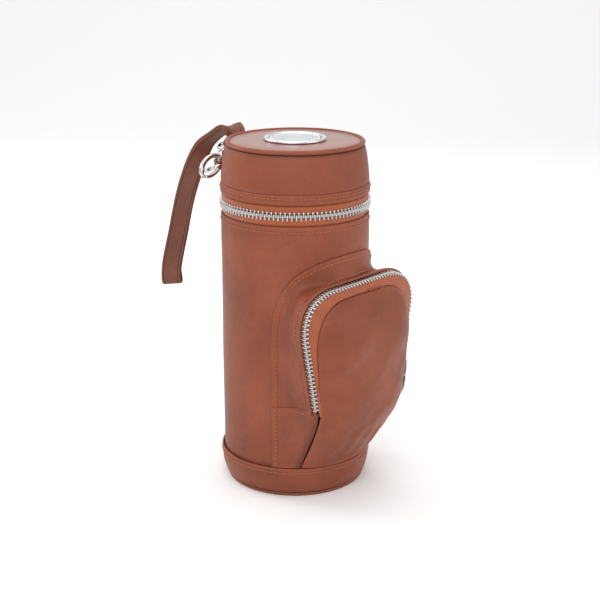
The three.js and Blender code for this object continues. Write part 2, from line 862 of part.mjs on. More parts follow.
// The strap's middle line from the eye's bar, over its crest and down to the fold.
const strapRoute = [
  [4.2, 56, 201.8],
  [7.8, 56.65, 206.4],
  [8.6, 58.6, 209.6],
  [8.4, 62, 210.6],
  [6.5, 65.9, 210],
  [3.3, 71.8, 205.4],
  [-0.2, 76.5, 200],
  [-3.6, 78.7, 193.3],
  [-7.8, 79.6, 185.3],
  [-15.4, 79.9, 168.4],
  [-22.6, 79.6, 146.3],
  [-28.9, 79.9, 123.7],
  [-29.8, 78.6, 116.3],
].map((p) => new THREE.Vector3(...p));

// A closed loop of leather: down one ply to the fold, and back up the other.
function makeStrap() {
  const route = new THREE.CatmullRomCurve3(strapRoute, false, "centripetal");
  const barRadius = 1.1 + 0.35 + leather / 2;
  const foldRadius = 2.4;
  const plyApart = leather / 2 + 0.15;
  const steps = 40;
  // the width turns from along the eye's bar to facing right at the crest, then to the front right
  const widthAt = (t) => {
    const first = THREE.MathUtils.smoothstep(t, 0.0, 0.2);
    const second = THREE.MathUtils.smoothstep(t, 0.16, 0.65);
    const a = degrees(-90 + 82 * first - 54 * second);
    const w = new THREE.Vector3(Math.cos(a), Math.sin(a), 0).lerp(eyeBar.clone().negate(), (1 - first) ** 2);
    const tangent = route.getTangentAt(t);
    return w.addScaledVector(tangent, -w.dot(tangent)).normalize();
  };
  const section = (t, offset, shift = 0) => {
    const w = widthAt(t);
    const tangent = route.getTangentAt(t);
    const n = new THREE.Vector3().crossVectors(w, tangent).normalize();
    const p = route.getPointAt(t).addScaledVector(n, offset).addScaledVector(tangent, shift);
    return { p, w, n, tangent };
  };
  const spread = (t) => {
    const atEye = barRadius * (1 - THREE.MathUtils.smoothstep(t, 0.0, 0.09));
    const atFold = foldRadius * THREE.MathUtils.smoothstep(t, 0.9, 0.995);
    return Math.max(plyApart, atEye, atFold);
  };
  const ring = [];
  const turnSteps = 6;
  const first = 0.001;
  const last = 0.995;
  for (let i = 0; i <= steps; i++) {
    const t = lerp(first, last, i / steps);
    ring.push({ ...section(t, spread(t)), side: 1 });
  }
  for (let i = 1; i < turnSteps; i++) {
    const a = (Math.PI * i) / turnSteps;
    const f = section(last, foldRadius * Math.cos(a), foldRadius * Math.sin(a));
    const out = f.n.clone().multiplyScalar(Math.cos(a)).addScaledVector(f.tangent, Math.sin(a));
    ring.push({ p: f.p, w: f.w, n: out, side: 1 });
  }
  for (let i = steps; i >= 0; i--) {
    const t = lerp(first, last, i / steps);
    const f = section(t, -spread(t));
    ring.push({ ...f, n: f.n.clone().negate(), side: 1 });
  }
  for (let i = 1; i < turnSteps; i++) {
    const a = (Math.PI * i) / turnSteps;
    const f = section(first, -barRadius * Math.cos(a), -barRadius * Math.sin(a));
    const out = f.n.clone().multiplyScalar(-Math.cos(a)).addScaledVector(f.tangent, -Math.sin(a));
    ring.push({ p: f.p, w: f.w, n: out, side: 1 });
  }
  const at = (u, v, side) => {
    const r = ring[Math.round(u * ring.length) % ring.length];
    return r.p
      .clone()
      .addScaledVector(r.w, (v - 0.5) * strapWidth)
      .addScaledVector(r.n, (side ? -1 : 1) * (leather / 2));
  };
  part("wrist_strap", sheet(at, ring.length, 3, true), "leather");
}

makeBase();
makeBodyTubes();
makeLowerZip();
makeMainSlider();
makeLid();
makeUpperZip();
makePouch();
makePouchFront();
makePouchSlider();
makeTab();
makeRing();
makeClasp();
makeStrap();

export default model;
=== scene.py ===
import math
import random

import bpy
import numpy as np
from mathutils import Matrix, Vector


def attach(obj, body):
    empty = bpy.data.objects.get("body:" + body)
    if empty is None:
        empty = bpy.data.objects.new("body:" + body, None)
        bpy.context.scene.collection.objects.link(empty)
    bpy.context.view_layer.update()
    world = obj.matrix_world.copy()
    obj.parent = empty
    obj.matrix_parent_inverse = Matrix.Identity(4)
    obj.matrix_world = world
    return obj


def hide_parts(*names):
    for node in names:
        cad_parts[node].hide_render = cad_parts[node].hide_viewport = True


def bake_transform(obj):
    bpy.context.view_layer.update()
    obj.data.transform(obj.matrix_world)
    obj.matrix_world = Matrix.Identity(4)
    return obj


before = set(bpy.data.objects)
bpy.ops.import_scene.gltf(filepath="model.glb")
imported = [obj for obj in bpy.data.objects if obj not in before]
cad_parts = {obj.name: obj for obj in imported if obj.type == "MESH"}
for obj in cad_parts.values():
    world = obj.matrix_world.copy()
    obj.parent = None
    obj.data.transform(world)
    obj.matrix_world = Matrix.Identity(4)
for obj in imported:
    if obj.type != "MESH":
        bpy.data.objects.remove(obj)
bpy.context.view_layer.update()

random.seed(7)
MM = 0.001

# ---------- sizes, in millimetres, in the CAD's frame ----------
LEATHER = 1.3
BODY_R = 44.7
BODY_TOP = 168.9
BAND_TOP = 19.6
ZIP_Z = 175.2
ZIP_R = 45.4
ZIP_END = 143
LID_FOOT = 181.5
FACING_TOP = 187.6
FLANGE_HALF = 52.5
FLANGE_TOP = 149.7
FLANGE_R = 46.0
SEAM_Z = 57
POUCH_ZIP_Y = 51
POUCH_ZIP_TOP = 133.9
POUCH_ZIP_FOOT = 60.8
FRONT_EDGE_Y = 55
POUCH_DEPTH = 67.5
FOLD_Z = 60
FOLD_DEPTH = 65.6
SIDE_FOOT_ANGLE = 43
EYE = np.array([4.2, 56, 201.8])
STRAP_W = 12.5
TAB_ANGLE = 164.5
RING_Z = 193
RING_BAR_R = 48.2
TAB_WIDTH = 10
PLY = 1.3
TOOTH_PITCH = 2.62


def unit(v):
    v = np.asarray(v, float)
    return v / max(np.linalg.norm(v), 1e-12)


CLASP_X = unit([-9, -1.2, -4])
CLASP_UP = np.array([0, -1, 0.25])
CLASP_Z = unit(CLASP_UP - CLASP_X * CLASP_UP.dot(CLASP_X))
CLASP_Y = np.cross(CLASP_Z, CLASP_X)
EYE_BAR = unit(np.array([0, 1, 0]) - CLASP_X * CLASP_X[1])


def lerp(a, b, t):
    return a + (b - a) * t


def smoothstep(x, a, b):
    t = min(max((x - a) / (b - a), 0), 1)
    return t * t * (3 - 2 * t)


def around(radius, degrees, z):
    a = math.radians(degrees)
    return np.array([radius * math.sin(a), -radius * math.cos(a), z])


def ripple(p, size, seed=0.0):
    """A smooth value about -1..1 that wanders over a distance of about size."""
    k = 2 * math.pi / size
    x, y, z = p
    return (
        math.sin(k * (x * 0.9 + y * 0.3) + seed)
        * math.sin(k * (z * 0.8 - y * 0.5) + 1.7 * seed)
        + 0.5 * math.sin(k * 1.9 * (x * 0.4 - z * 0.7) + 2.3 * seed + 1)
        * math.sin(k * 1.7 * (y * 0.8 + z * 0.3) + 0.6)
    ) / 1.3


# ---------- materials ----------
def new_material(name):
    m = bpy.data.materials.new(name)
    m.use_nodes = True
    nodes, links = m.node_tree.nodes, m.node_tree.links
    return m, nodes, links, nodes["Principled BSDF"]


def add(nodes, kind, **values):
    n = nodes.new(kind)
    for k, v in values.items():
        if hasattr(n, k):
            setattr(n, k, v)
        else:
            n.inputs[k.replace("_", " ")].default_value = v
    return n


def ramp(nodes, links, source, stops):
    r = nodes.new("ShaderNodeValToRGB")
    e = r.color_ramp.elements
    while len(e) > 1:
        e.remove(e[-1])
    e[0].position, e[0].color = stops[0][0], (*stops[0][1], 1)
    for pos, colour in stops[1:]:
        x = e.new(pos)
        x.color = (*colour, 1)
    links.new(source, r.inputs["Fac"])
    return r.outputs["Color"]


def mixed(nodes, links, a, b, factor, kind="MIX", amount=None):
    m = nodes.new("ShaderNodeMix")
    m.data_type = "RGBA"
    m.blend_type = kind
    if factor is None:
        m.inputs[0].default_value = amount
    else:
        links.new(factor, m.inputs[0])
    for socket, value in ((m.inputs[6], a), (m.inputs[7], b)):
        if isinstance(value, tuple):
            socket.default_value = (*value, 1)
        else:
            links.new(value, socket)
    return m.outputs[2]


def leather_material(name, dark, mid, light, rough=0.46, grain=1.0, specular=0.3, polish=0.0):
    m, nodes, links, shader = new_material(name)
    where = add(nodes, "ShaderNodeTexCoord").outputs["Object"]

    def noise(scale, detail=3.0, roughness=0.5):
        n = add(nodes, "ShaderNodeTexNoise", Scale=scale, Detail=detail, Roughness=roughness)
        links.new(where, n.inputs["Vector"])
        return n.outputs["Fac"]

    cloudy = ramp(nodes, links, noise(22, 4), [(0.28, dark), (0.5, mid), (0.74, light)])
    mottle = ramp(
        nodes, links, noise(160, 5, 0.6), [(0.3, (0.8, 0.78, 0.76)), (0.65, (1.0, 1.0, 1.0))]
    )
    colour = mixed(nodes, links, cloudy, mottle, None, "MULTIPLY", 0.55)
    cells = add(nodes, "ShaderNodeTexVoronoi", Scale=1150.0)
    cells.feature = "DISTANCE_TO_EDGE"
    links.new(where, cells.inputs["Vector"])
    pores = ramp(nodes, links, cells.outputs["Distance"], [(0.0, (0.72, 0.7, 0.68)), (0.16, (1, 1, 1))])
    colour = mixed(nodes, links, colour, pores, None, "MULTIPLY", 0.35)
    wear = add(nodes, "ShaderNodeAttribute", attribute_name="wear").outputs["Fac"]
    patchy = add(nodes, "ShaderNodeMath", operation="MULTIPLY")
    links.new(wear, patchy.inputs[0])
    links.new(ramp(nodes, links, noise(420, 3), [(0.35, (0.25,) * 3), (0.65, (1,) * 3)]), patchy.inputs[1])
    colour = mixed(nodes, links, colour, light, patchy.outputs[0])
    # Painted shade: where the 'shade' attribute is set, the colour is pulled towards a deep brown.
    painted_shade_mask = add(nodes, "ShaderNodeAttribute", attribute_name="shade").outputs["Fac"]
    colour = mixed(nodes, links, colour, tuple(c * 0.45 for c in dark), painted_shade_mask)
    links.new(colour, shader.inputs["Base Color"])
    r = add(nodes, "ShaderNodeMapRange", To_Min=rough - 0.06, To_Max=rough + 0.1)
    links.new(noise(90, 3), r.inputs["Value"])
    links.new(r.outputs[0], shader.inputs["Roughness"])
    shader.inputs["Specular IOR Level"].default_value = specular
    shader.inputs["Coat Weight"].default_value = polish
    shader.inputs["Coat Roughness"].default_value = 0.3
    fine = add(nodes, "ShaderNodeBump", Strength=0.28 * grain, Distance=0.00012)
    links.new(cells.outputs["Distance"], fine.inputs["Height"])
    soft = add(nodes, "ShaderNodeBump", Strength=0.35 * grain, Distance=0.0005)
    links.new(noise(240, 4), soft.inputs["Height"])
    links.new(soft.outputs["Normal"], fine.inputs["Normal"])
    links.new(fine.outputs["Normal"], shader.inputs["Normal"])
    return m


def woven_material(name, dark, light, pitch=0.9, rough=0.75, herringbone=True):
    """Cloth woven in the piece's own UVs, which are millimetres along and across it."""
    m, nodes, links, shader = new_material(name)
    uv = add(nodes, "ShaderNodeTexCoord").outputs["UV"]
    split = nodes.new("ShaderNodeSeparateXYZ")
    links.new(uv, split.inputs[0])

    def math_node(operation, a, b=None):
        n = add(nodes, "ShaderNodeMath", operation=operation)
        for socket, value in zip(n.inputs, (a, b)):
            if value is None:
                continue
            if isinstance(value, (int, float)):
                socket.default_value = value
            else:
                links.new(value, socket)
        return n.outputs[0]

    along, across = split.outputs[0], split.outputs[1]
    if herringbone:
        fold = math_node("PINGPONG", across, 1.1)
        line = math_node("ADD", along, fold)
    else:
        line = along
    wave = math_node("SINE", math_node("MULTIPLY", line, 2 * math.pi / pitch))
    weft = math_node("SINE", math_node("MULTIPLY", across, 2 * math.pi / (pitch * 0.6)))
    height = math_node("MULTIPLY_ADD", wave, 0.35)
    height.node.inputs[2].default_value = 0.5
    both = math_node("ADD", height, math_node("MULTIPLY", weft, 0.14))
    colour = ramp(nodes, links, both, [(0.15, dark), (0.8, light)])
    where = add(nodes, "ShaderNodeTexCoord").outputs["Object"]
    n = add(nodes, "ShaderNodeTexNoise", Scale=150.0, Detail=4.0)
    links.new(where, n.inputs["Vector"])
    colour = mixed(
        nodes, links, colour,
        ramp(nodes, links, n.outputs["Fac"], [(0.3, (0.78,) * 3), (0.7, (1,) * 3)]),
        None, "MULTIPLY", 0.6,
    )
    links.new(colour, shader.inputs["Base Color"])
    shader.inputs["Roughness"].default_value = rough
    shader.inputs["Sheen Weight"].default_value = 0.25
    shader.inputs["Sheen Roughness"].default_value = 0.5
    bump = add(nodes, "ShaderNodeBump", Strength=0.5, Distance=0.0002)
    links.new(both, bump.inputs["Height"])
    links.new(bump.outputs["Normal"], shader.inputs["Normal"])
    return m


def metal_material(name, colour, rough, scratch=900.0, brushed=None):
    m, nodes, links, shader = new_material(name)
    where = add(nodes, "ShaderNodeTexCoord").outputs["Object"]
    n = add(nodes, "ShaderNodeTexNoise", Scale=scratch, Detail=3.0)
    if brushed:
        mapping = add(nodes, "ShaderNodeMapping")
        mapping.inputs["Scale"].default_value = brushed
        links.new(where, mapping.inputs["Vector"])
        links.new(mapping.outputs[0], n.inputs["Vector"])
    else:
        links.new(where, n.inputs["Vector"])
    shader.inputs["Metallic"].default_value = 1.0
    tint = ramp(nodes, links, n.outputs["Fac"], [(0.3, tuple(c * 0.86 for c in colour)), (0.7, colour)])
    links.new(tint, shader.inputs["Base Color"])
    r = add(nodes, "ShaderNodeMapRange", To_Min=rough * 0.75, To_Max=rough * 1.35)
    links.new(n.outputs["Fac"], r.inputs["Value"])
    links.new(r.outputs[0], shader.inputs["Roughness"])
    bump = add(nodes, "ShaderNodeBump", Strength=0.12, Distance=0.00005)
    links.new(n.outputs["Fac"], bump.inputs["Height"])
    links.new(bump.outputs["Normal"], shader.inputs["Normal"])
    return m


DARK, MID, LIGHT = (0.186, 0.045, 0.0195), (0.238, 0.058, 0.025), (0.31, 0.083, 0.04)
leather = leather_material("cognac_leather", DARK, MID, LIGHT)
smooth_leather = leather_material("cognac_leather_smooth", DARK, MID, LIGHT, 0.4, 0.7)
top_leather = leather_material("cognac_leather_polished", DARK, MID, LIGHT, 0.36, 0.6, 0.8, 0.7)
strap_leather = leather_material(
    "cognac_leather_strap", (0.115, 0.034, 0.02), (0.15, 0.046, 0.027), (0.22, 0.08, 0.05), 0.5, 0.8)
# Painted shade: a near-black leather for the thin tubes that stand in for the shade in the strap's creased
# grooves.
crease_painted_shade = leather_material(
    "leather_crease_painted_shade", (0.03, 0.012, 0.008), (0.045, 0.018, 0.012), (0.06, 0.025, 0.016), 0.6)
tape_cloth = woven_material("zip_tape_weave", (0.2, 0.036, 0.01), (0.48, 0.112, 0.03), 1.25)
lining_cloth = woven_material("lining_weave", (0.28, 0.19, 0.12), (0.42, 0.3, 0.2), 0.8, 0.85, False)
thread = woven_material("sewing_thread", (0.3, 0.066, 0.016), (0.45, 0.115, 0.03), 0.5, 0.6, False)
board_stock = woven_material("pasteboard", (0.36, 0.29, 0.2), (0.45, 0.37, 0.27), 3.0, 0.9, False)
nickel = metal_material("polished_nickel", (0.64, 0.62, 0.6), 0.2)
tooth_metal = metal_material("zip_tooth_metal", (0.56, 0.55, 0.54), 0.26)
badge_metal = metal_material("badge_metal", (0.8, 0.81, 0.83), 0.26)
badge_field = metal_material("badge_field", (0.74, 0.75, 0.78), 0.34, 500.0, (1.0, 6.0, 1.0))

SLOTS = {
    "cognac_leather": (leather, smooth_leather, top_leather, strap_leather, crease_painted_shade),
    "zip_tape": (tape_cloth, thread),
    "lining_cloth": (lining_cloth,),
    "board": (board_stock,),
    "nickel": (nickel, tooth_metal, badge_metal, badge_field),
}
SLOT_OF = {material.name: slot for slot, materials in SLOTS.items() for material in materials}


# ---------- mesh helpers ----------
def build(name, verts, faces, material, body=None, slot=None, replaces=(), uv=None, wear=None, shade=None):
    """Makes an object from millimetres, with its material, the nodes it replaces and its body; the slot is
    looked up but not kept.
    """
    mesh = bpy.data.meshes.new(name)
    mesh.from_pydata([tuple(v) for v in np.asarray(verts, float) * MM], [], faces)
    mesh.update()
    mesh.polygons.foreach_set("use_smooth", [True] * len(mesh.polygons))
    layer = mesh.uv_layers.new(name="UVMap")
    loops = np.zeros(len(mesh.loops), int)
    mesh.loops.foreach_get("vertex_index", loops)
    if uv is None:
        uv = np.asarray(verts, float)[:, [0, 2]]
    layer.data.foreach_set("uv", np.asarray(uv, float)[loops].ravel())
    for key, values in (("wear", wear), ("shade", shade)):
        if values is not None:
            a = mesh.attributes.new(key, "FLOAT", "POINT")
            a.data.foreach_set("value", np.asarray(values, np.float32))
    obj = bpy.data.objects.new(name, mesh)
    bpy.context.scene.collection.objects.link(obj)
    mesh.materials.append(material)
    slot = slot or SLOT_OF.get(material.name)
    if replaces:
        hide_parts(*replaces)
    if body:
        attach(obj, body)
    return obj


def grid_of(at, nu, nv, loop):
    columns = nu if loop else nu + 1
    return np.array([[at(i / nu, j / nv) for j in range(nv + 1)] for i in range(columns)])


def grid_normals(p, loop):
    if loop:
        du = np.roll(p, -1, 0) - np.roll(p, 1, 0)
    else:
        du = np.gradient(p, axis=0)
    dv = np.gradient(p, axis=1)
    n = np.cross(du, dv)
    length = np.linalg.norm(n, axis=2, keepdims=True)
    return n / np.maximum(length, 1e-9)


def shell(name, at, nu, nv, thickness, material, loop=False, flip=False, edge_wear=0.55, shade=None, **rest):
    """A curved sheet with thickness and rounded edges; at(u, v) is its outer face."""
    p = grid_of(at, nu, nv, loop)
    n = grid_normals(p, loop) * (-1 if flip else 1)
    columns, rows = p.shape[:2]
    back = p - n * thickness
    verts = list(p.reshape(-1, 3)) + list(back.reshape(-1, 3))
    count = columns * rows
    du = np.linalg.norm(np.diff(np.concatenate([p, p[:1]]) if loop else p, axis=0), axis=2).mean(1)
    dv = np.linalg.norm(np.diff(p, axis=1), axis=2).mean(0)
    us = np.concatenate([[0], np.cumsum(du)])[:columns]
    vs = np.concatenate([[0], np.cumsum(dv)])
    uv = [(us[i], vs[j]) for i in range(columns) for j in range(rows)] * 2
    reach = 3.0
    total_u, total_v = us[-1], vs[-1]
    worn = []
    for i in range(columns):
        for j in range(rows):
            d = min(vs[j], total_v - vs[j])
            if not loop:
                d = min(d, us[i], total_u - us[i])
            worn.append(edge_wear * max(0, 1 - d / reach) ** 2)
    worn = worn + worn
    shading = [0.0] * (2 * count)
    if shade is not None:
        shading = [shade(q) for q in verts]
    faces = []

    def at_id(i, j, side):
        return side * count + (i % columns) * rows + j

    def quad(a, b, c, d):
        faces.append((a, b, c, d) if not flip else (d, c, b, a))

    spans = nu
    for i in range(spans):
        for j in range(nv):
            quad(at_id(i, j, 0), at_id(i + 1, j, 0), at_id(i + 1, j + 1, 0), at_id(i, j + 1, 0))
            quad(at_id(i, j, 1), at_id(i, j + 1, 1), at_id(i + 1, j + 1, 1), at_id(i + 1, j, 1))
    # the border, walked so that the sheet lies on its left
    if loop:
        borders = [
            [((i % columns), 0, (i % columns), 1) for i in range(columns)],
            [((-i % columns), nv, (-i % columns), nv - 1) for i in range(columns)],
        ]
    else:
        ring = [(i, 0, i, 1) for i in range(nu)]
        ring += [(nu, j, nu - 1, j) for j in range(nv)]
        ring += [(i, nv, i, nv - 1) for i in range(nu, 0, -1)]
        ring += [(0, j, 1, j) for j in range(nv, 0, -1)]
        borders = [ring]
    steps = 4
    for ring in borders:
        rows_of = []
        for i, j, i2, j2 in ring:
            outer, under = p[i, j], back[i, j]
            away = unit(p[i, j] - p[i2, j2])
            across = unit(under - outer)
            away = unit(away - across * away.dot(across))
            middle, half = (outer + under) / 2, thickness / 2
            line = [at_id(i, j, 0)]
            for k in range(1, steps):
                a = math.pi * k / steps
                line.append(len(verts))
                verts.append(middle - across * half * math.cos(a) + away * half * math.sin(a) * 0.85)
                uv.append(uv[line[0]])
                worn.append(edge_wear)
                shading.append(shading[line[0]])
            line.append(at_id(i, j, 1))
            rows_of.append(line)
        for a, b in zip(rows_of, rows_of[1:] + rows_of[:1]):
            for k in range(steps):
                quad(a[k], a[k + 1], b[k + 1], b[k])
    return build(name, verts, faces, material, uv=uv, wear=worn, shade=shading, **rest)


def lathe(name, profile, material, segments=160, corner=0.25, **rest):
    """A turned solid; its corners are rounded.

    The profile runs round the section, axis last and first if it reaches it."""
    closed = profile[0][0] > 0
    pts = [np.array(q, float) for q in profile]
    out = []
    n = len(pts)
    for k, q in enumerate(pts):
        if not closed and k in (0, n - 1):
            out.append(q)
            continue
        a, b = pts[k - 1] - q, pts[(k + 1) % n] - q
        la, lb = np.linalg.norm(a), np.linalg.norm(b)
        bend = math.acos(max(-1, min(1, -a.dot(b) / (la * lb))))
        if bend < 0.35:
            out.append(q)
            continue
        r = min(corner, la * 0.4, lb * 0.4)
        for t in (0, 0.25, 0.5, 0.75, 1):
            s, e = q + a / la * r, q + b / lb * r
            out.append((1 - t) ** 2 * s + 2 * t * (1 - t) * q + t * t * e)
    rows = len(out)
    verts, faces, uv = [], [], []
    length = 0
    lengths = [0]
    for a, b in zip(out, out[1:]):
        length += np.linalg.norm(b - a)
        lengths.append(length)
    middle_r = max(q[0] for q in out)
    for i in range(segments):
        for k, q in enumerate(out):
            if q[0] < 1e-6 and i:
                verts.append(verts[k])
            else:
                verts.append(around(max(q[0], 0), 360 * i / segments, q[1]))
            uv.append((2 * math.pi * middle_r * i / segments, lengths[k]))

    def ref(i, k):
        return k if out[k][0] < 1e-6 else (i % segments) * rows + k

    spans = rows if closed else rows - 1
    for i in range(segments):
        for k in range(spans):
            quad = [ref(i, k), ref(i + 1, k), ref(i + 1, (k + 1) % rows), ref(i, (k + 1) % rows)]
            quad = list(dict.fromkeys(quad))
            if len(quad) > 2:
                faces.append(tuple(quad))
    used = sorted({v for f in faces for v in f})
    new = {v: k for k, v in enumerate(used)}
    return build(
        name, [verts[v] for v in used], [tuple(new[v] for v in f) for f in faces], material,
        uv=[uv[v] for v in used], **rest
    )


def ring_faces(rings, sides, closed=False):
    """Quads that join each ring of vertices to the next; closed also joins the last to the first."""
    faces = []
    for i in range(rings if closed else rings - 1):
        a, b = i * sides, (i + 1) % rings * sides
        for k in range(sides):
            k2 = (k + 1) % sides
            faces.append((a + k, a + k2, b + k2, b + k))
    return faces


def end_caps(rings, sides):
    last = (rings - 1) * sides
    return [tuple(range(sides))[::-1], tuple(last + k for k in range(sides))]


def tube(points, radius, sides=12, closed=False):
    """Vertices and faces of a round wire along points; radius may be one number or one per point."""
    p = np.asarray(points, float)
    n = len(p)
    radii = np.full(n, radius) if np.isscalar(radius) else np.asarray(radius, float)
    if closed:
        tangent = np.roll(p, -1, 0) - np.roll(p, 1, 0)
    else:
        tangent = np.gradient(p, axis=0)
    tangent /= np.linalg.norm(tangent, axis=1, keepdims=True)
    normal = np.cross(tangent[0], [0.3, 0.5, 0.8])
    normal = unit(normal)
    frames = []
    for k in range(n):
        normal = unit(normal - tangent[k] * normal.dot(tangent[k]))
        frames.append((normal, np.cross(tangent[k], normal)))
    if closed:  # spread the twist that is left
        last = unit(frames[-1][0] - tangent[0] * frames[-1][0].dot(tangent[0]))
        twist = math.atan2(last.dot(frames[0][1]), last.dot(frames[0][0]))
        frames = [
            (
                a * math.cos(-twist * k / n) + b * math.sin(-twist * k / n),
                b * math.cos(-twist * k / n) - a * math.sin(-twist * k / n),
            )
            for k, (a, b) in enumerate(frames)
        ]
    verts = []
    for k in range(n):
        a, b = frames[k]
        for s in range(sides):
            t = 2 * math.pi * s / sides
            verts.append(p[k] + (a * math.cos(t) + b * math.sin(t)) * radii[k])
    faces = ring_faces(n, sides, closed)
    if not closed:
        faces += end_caps(n, sides)
    return verts, faces


class Pieces:
    """Gathers several closed forms into one mesh."""

    def __init__(self):
        self.verts, self.faces = [], []

    def add(self, verts, faces):
        base = len(self.verts)
        self.verts += [np.asarray(v, float) for v in verts]
        self.faces += [tuple(base + i for i in f) for f in faces]
        return self

    def move(self, place):
        self.verts = [place(v) for v in self.verts]
        return self

    def make(self, name, material, **rest):
        return build(name, self.verts, self.faces, material, **rest)


def along_line(points, step):
    """Points and tangents every step along a polyline."""
    p = np.asarray(points, float)
    seg = np.linalg.norm(np.diff(p, axis=0), axis=1)
    s = np.concatenate([[0], np.cumsum(seg)])
    marks = np.arange(step * 0.5, s[-1], step)
    out = []
    for m in marks:
        k = min(np.searchsorted(s, m, side="right") - 1, len(seg) - 1)
        t = (m - s[k]) / max(seg[k], 1e-9)
        out.append((p[k] * (1 - t) + p[k + 1] * t, unit(p[k + 1] - p[k]), k + t))
    return out


def stitches(name, points, normals, body, pitch=2.65, length=1.9, radius=0.33):
    """A row of sewn stitches on a surface: short threads that dip into it at both ends."""
    pieces = Pieces()
    normals = np.asarray(normals, float)
    for centre, tangent, k in along_line(points, pitch):
        i = min(int(k), len(normals) - 2)
        n = unit(normals[i] * (1 - (k - i)) + normals[i + 1] * (k - i))
        lean = random.uniform(-0.07, 0.07)
        side = np.cross(n, tangent)
        line, radii = [], []
        for t in (-1, -0.72, -0.3, 0.3, 0.72, 1):
            line.append(centre + tangent * t * length / 2 + side * lean * t + n * (0.18 - 0.5 * abs(t) ** 3))
            radii.append(radius * (0.62 if abs(t) == 1 else 1))
        pieces.add(*tube(line, radii, 6))
    obj = pieces.make(name, thread)
    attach(obj, body)


def tooth(place, x, y, z, width=1.2, reach=2.7, tip=0.85, deep=2.3):
    """One zip tooth: place is its point on the zip's middle line, x along the zip, y towards the other
    side and z outwards. Its head is narrower than its foot and rounded."""
    stations = [
        (-reach, 0.3, 0.36), (-reach + 0.2, 0.42, 0.47), (-1.0, 0.42, 0.48), (-0.45, 0.42, 0.5),
        (-0.1, 0.54, 0.5), (0.45, 0.6, 0.47), (tip + 0.1, 0.46, 0.34),
    ]
    verts, faces = [], []
    for across, w, d in stations:
        for k in range(8):
            a = 2 * math.pi * (k + 0.5) / 8
            cx, cz = math.cos(a), math.sin(a)
            px = math.copysign(abs(cx) ** 0.45, cx) * w * width
            pz = math.copysign(abs(cz) ** 0.45, cz) * d * deep
            verts.append(place + x * px + y * across + z * pz)
    for r in range(len(stations) - 1):
        for k in range(8):
            k2 = (k + 1) % 8
            faces.append((r * 8 + k, (r + 1) * 8 + k, (r + 1) * 8 + k2, r * 8 + k2))
    faces.append(tuple(range(8)))
    last = (len(stations) - 1) * 8
    faces.append(tuple(last + k for k in range(8))[::-1])
    if np.cross(x, y).dot(z) < 0:
        faces = [f[::-1] for f in faces]
    return verts, faces


# ---------- case: base, band, body ----------
def body_radius(z):
    if z < 16:
        return float(np.interp(z, [2.7, 7, 12, 16], [41.9, 43.4, 44.4, BODY_R]))
    return BODY_R


def body_at(u, v):
    z = lerp(3.2, BODY_TOP - 0.6, v)
    a = 360 * u
    r = body_radius(z)
    p = around(r, a, z)
    wave = 0.16 * ripple(p, 70, 0.4) * smoothstep(z, 20, 40) * (1 - smoothstep(z, 150, 166))
    dip = -0.18 * math.exp(-(((z - (BODY_TOP - 3.2)) / 0.9) ** 2))
    return around(r + wave + dip, a, z)


def band_lap_painted_shade(q):
    """Painted shade: the body's leather darkens in a narrow strip just above the base band's top edge."""
    z = q[2]
    return 0.5 * max(0, 1 - abs(z - BAND_TOP) / 1.4) if z > BAND_TOP else 0.0


shell("body_leather", body_at, 192, 70, LEATHER, leather, loop=True, body="case",
      replaces=["body_shell"], shade=band_lap_painted_shade)

BAND = ([2.7, 5, 7, 9.5, 12, 16, BAND_TOP], [43.35, 44.2, 44.95, 45.6, 46.0, 46.3, 46.4])


def band_at(u, v):
    z = lerp(3.3, BAND_TOP - 0.6, v)
    a = 360 * u
    r = float(np.interp(z, *BAND))
    r += 0.1 * ripple(around(r, a, z), 30, 2.0) - 0.16 * math.exp(-(((z - 16.6) / 0.8) ** 2))
    return around(min(r, 46.5), a, z)


# Painted shade: the band darkens towards its foot by the base.
shell("base_band_leather", band_at, 192, 14, 1.15, leather, loop=True, body="case",
      replaces=["base_band"],
      shade=lambda q: 0.55 * max(0, 1 - (q[2] - 2.7) / 2.2))
ring = np.linspace(0, 360, 181)
stitches("base_band_stitches", [around(46.28, a, 16.7) for a in ring], [around(1, a, 0) for a in ring], "case")
lathe("base_leather", [(0, 0), (41.7, 0), (42.5, 0.45), (42.8, 1.2), (42.4, 2.3), (0, 2.3)], smooth_leather,
      corner=0.5, body="case", replaces=["base_disc"])
stitches("body_edge_stitches", [around(BODY_R - 0.02, a, BODY_TOP - 3.4) for a in ring],
         [around(1, a, 0) for a in ring], "case")

lathe("body_lining_cloth", [(41.3, 6.5), (41.3, 168.6), (41.3 - 0.9, 168.6), (41.3 - 0.9, 6.5)],
      lining_cloth, corner=0.3, body="case", replaces=["body_lining"])
lathe("base_lining_cloth", [(0, 5.2), (39.8, 5.2), (39.8, 6.1), (0, 6.1)], lining_cloth, corner=0.3,
      body="case", replaces=["base_lining"])
lathe("body_stiffener_board", [(43.1, 12.8), (43.1, 160.5), (41.6, 160.5), (41.6, 12.8)], board_stock,
      body="case", replaces=["body_stiffener"])
lathe("base_board_stock", [(0, 2.7), (40.3, 2.7), (40.3, 4.9), (0, 4.9)], board_stock,
      body="case", replaces=["base_board"])

# ---------- the lid ----------
WALL_Z = [186.5, 188.3, 190.5, 193.5, 199, 204.5, 207.5, 209.3]
WALL_R = [43.7, 44.45, 44.4, 44.15, 43.55, 42.75, 42.1, 41.45]


def lid_wall_at(u, v):
    z = lerp(186.5, 209.2, v)
    a = 360 * u
    r = float(np.interp(z, WALL_Z, WALL_R))
    r += 0.14 * ripple(around(r, a, z), 55, 1.3)
    return around(min(r, 44.5), a, z)


